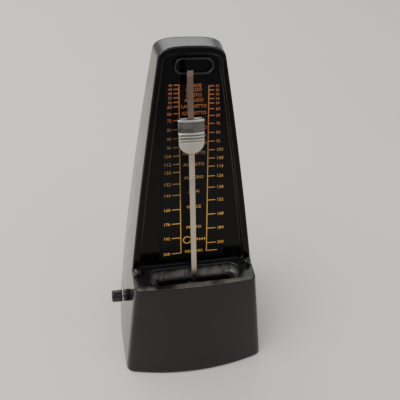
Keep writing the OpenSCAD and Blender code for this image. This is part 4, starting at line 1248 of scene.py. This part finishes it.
def build_floor(colour):
    """Wide level floor at height zero, where the feet stand."""
    p = Paint("floor_paint")
    cloud = p.noise(2.2, 3.0)
    p.set(Base_Color=p.mix(cloud, tuple(colour), shade(colour, 0.95)), Roughness=0.7)
    mesh = bpy.data.meshes.new("floor")
    reach = 6.0
    corners = [(-reach, -reach, 0), (reach, -reach, 0), (reach, reach, 0), (-reach, reach, 0)]
    mesh.from_pydata(corners, [], [(0, 1, 2, 3)])
    mesh.materials.append(p.material)
    floor = bpy.data.objects.new("floor", mesh)
    bpy.context.scene.collection.objects.link(floor)


def soft_light(name, place, target, width, height, power, colour=(1, 1, 1)):
    light = bpy.data.lights.new(name, "AREA")
    light.shape = "RECTANGLE"
    light.size = width
    light.size_y = height
    light.energy = power
    light.color = colour
    made = bpy.data.objects.new(name, light)
    made.location = place
    aim = Vector(target) - Vector(place)
    made.rotation_euler = aim.to_track_quat("-Z", "Y").to_euler()
    bpy.context.scene.collection.objects.link(made)


def build_lights(scene):
    """A large key light from the upper left, a faint fill and an even pale surround."""
    soft_light("key", (-0.9, -0.25, 1.5), (0, 0, 0.1), 1.3, 1.3, 19.0, (1.0, 0.98, 0.95))
    soft_light("fill", (0.9, -0.9, 1.2), (0, 0, 0.1), 1.0, 1.0, 2.5)
    soft_light("sky", (-0.5, 1.5, 1.35), (0, 0, 0.1), 3.2, 1.1, 21.0, (1.0, 0.99, 0.97))
    world = bpy.data.worlds.new("surround")
    world.use_nodes = True
    world.node_tree.nodes["Background"].inputs[0].default_value = (0.95, 0.97, 1.0, 1.0)
    world.node_tree.nodes["Background"].inputs[1].default_value = 0.5
    scene.world = world


def build_camera(scene):
    """Camera above and in front, a little to the left, looking down at the metronome."""
    yaw, pitch, roll = 0.2179, 0.6537, 0.0545
    forward = Vector((sin(yaw) * cos(pitch), cos(yaw) * cos(pitch), -sin(pitch)))
    level = Vector((cos(yaw), -sin(yaw), 0))
    upright = level.cross(forward)
    right = cos(roll) * level + sin(roll) * upright
    up = -sin(roll) * level + cos(roll) * upright
    data = bpy.data.cameras.new("camera")
    data.sensor_width = 36.0
    data.lens = 42.88
    data.clip_start = 0.01
    camera = bpy.data.objects.new("camera", data)
    camera.matrix_world = Matrix.Translation((-0.04819, -0.2507, 0.31359)) @ Matrix(
        (right, up, -forward)).transposed().to_4x4()
    scene.collection.objects.link(camera)
    scene.camera = camera


class METRONOME_PT_panel(bpy.types.Panel):
    """Buttons for the metronome's pieces and its properties"""
    bl_idname = "METRONOME_PT_panel"
    bl_label = "Metronome"
    bl_space_type = "VIEW_3D"
    bl_region_type = "UI"
    bl_category = "Metronome"

    def draw(self, context):
        for step in STEPS:
            self.layout.operator(step.bl_idname)
        for group in (context.scene.metronome_sizes, context.scene.metronome_colours):
            box = self.layout.box()
            for name in group.__annotations__:
                box.prop(group, name)


STEPS = (METRONOME_OT_case, METRONOME_OT_scale, METRONOME_OT_pendulum, METRONOME_OT_controls,
         METRONOME_OT_movement, METRONOME_OT_stage)
CLASSES = (MetronomeSizes, MetronomeColours) + STEPS + (METRONOME_PT_panel,)


def register():
    for item in CLASSES:
        bpy.utils.register_class(item)
    bpy.types.Scene.metronome_sizes = bpy.props.PointerProperty(type=MetronomeSizes)
    bpy.types.Scene.metronome_colours = bpy.props.PointerProperty(type=MetronomeColours)


def unregister():
    del bpy.types.Scene.metronome_sizes
    del bpy.types.Scene.metronome_colours
    for item in reversed(CLASSES):
        bpy.utils.unregister_class(item)


def main():
    register()
    ops = bpy.ops.metronome
    for step in (ops.case, ops.scale, ops.pendulum, ops.controls, ops.movement, ops.stage):
        step()


if __name__ == "__main__":
    main()
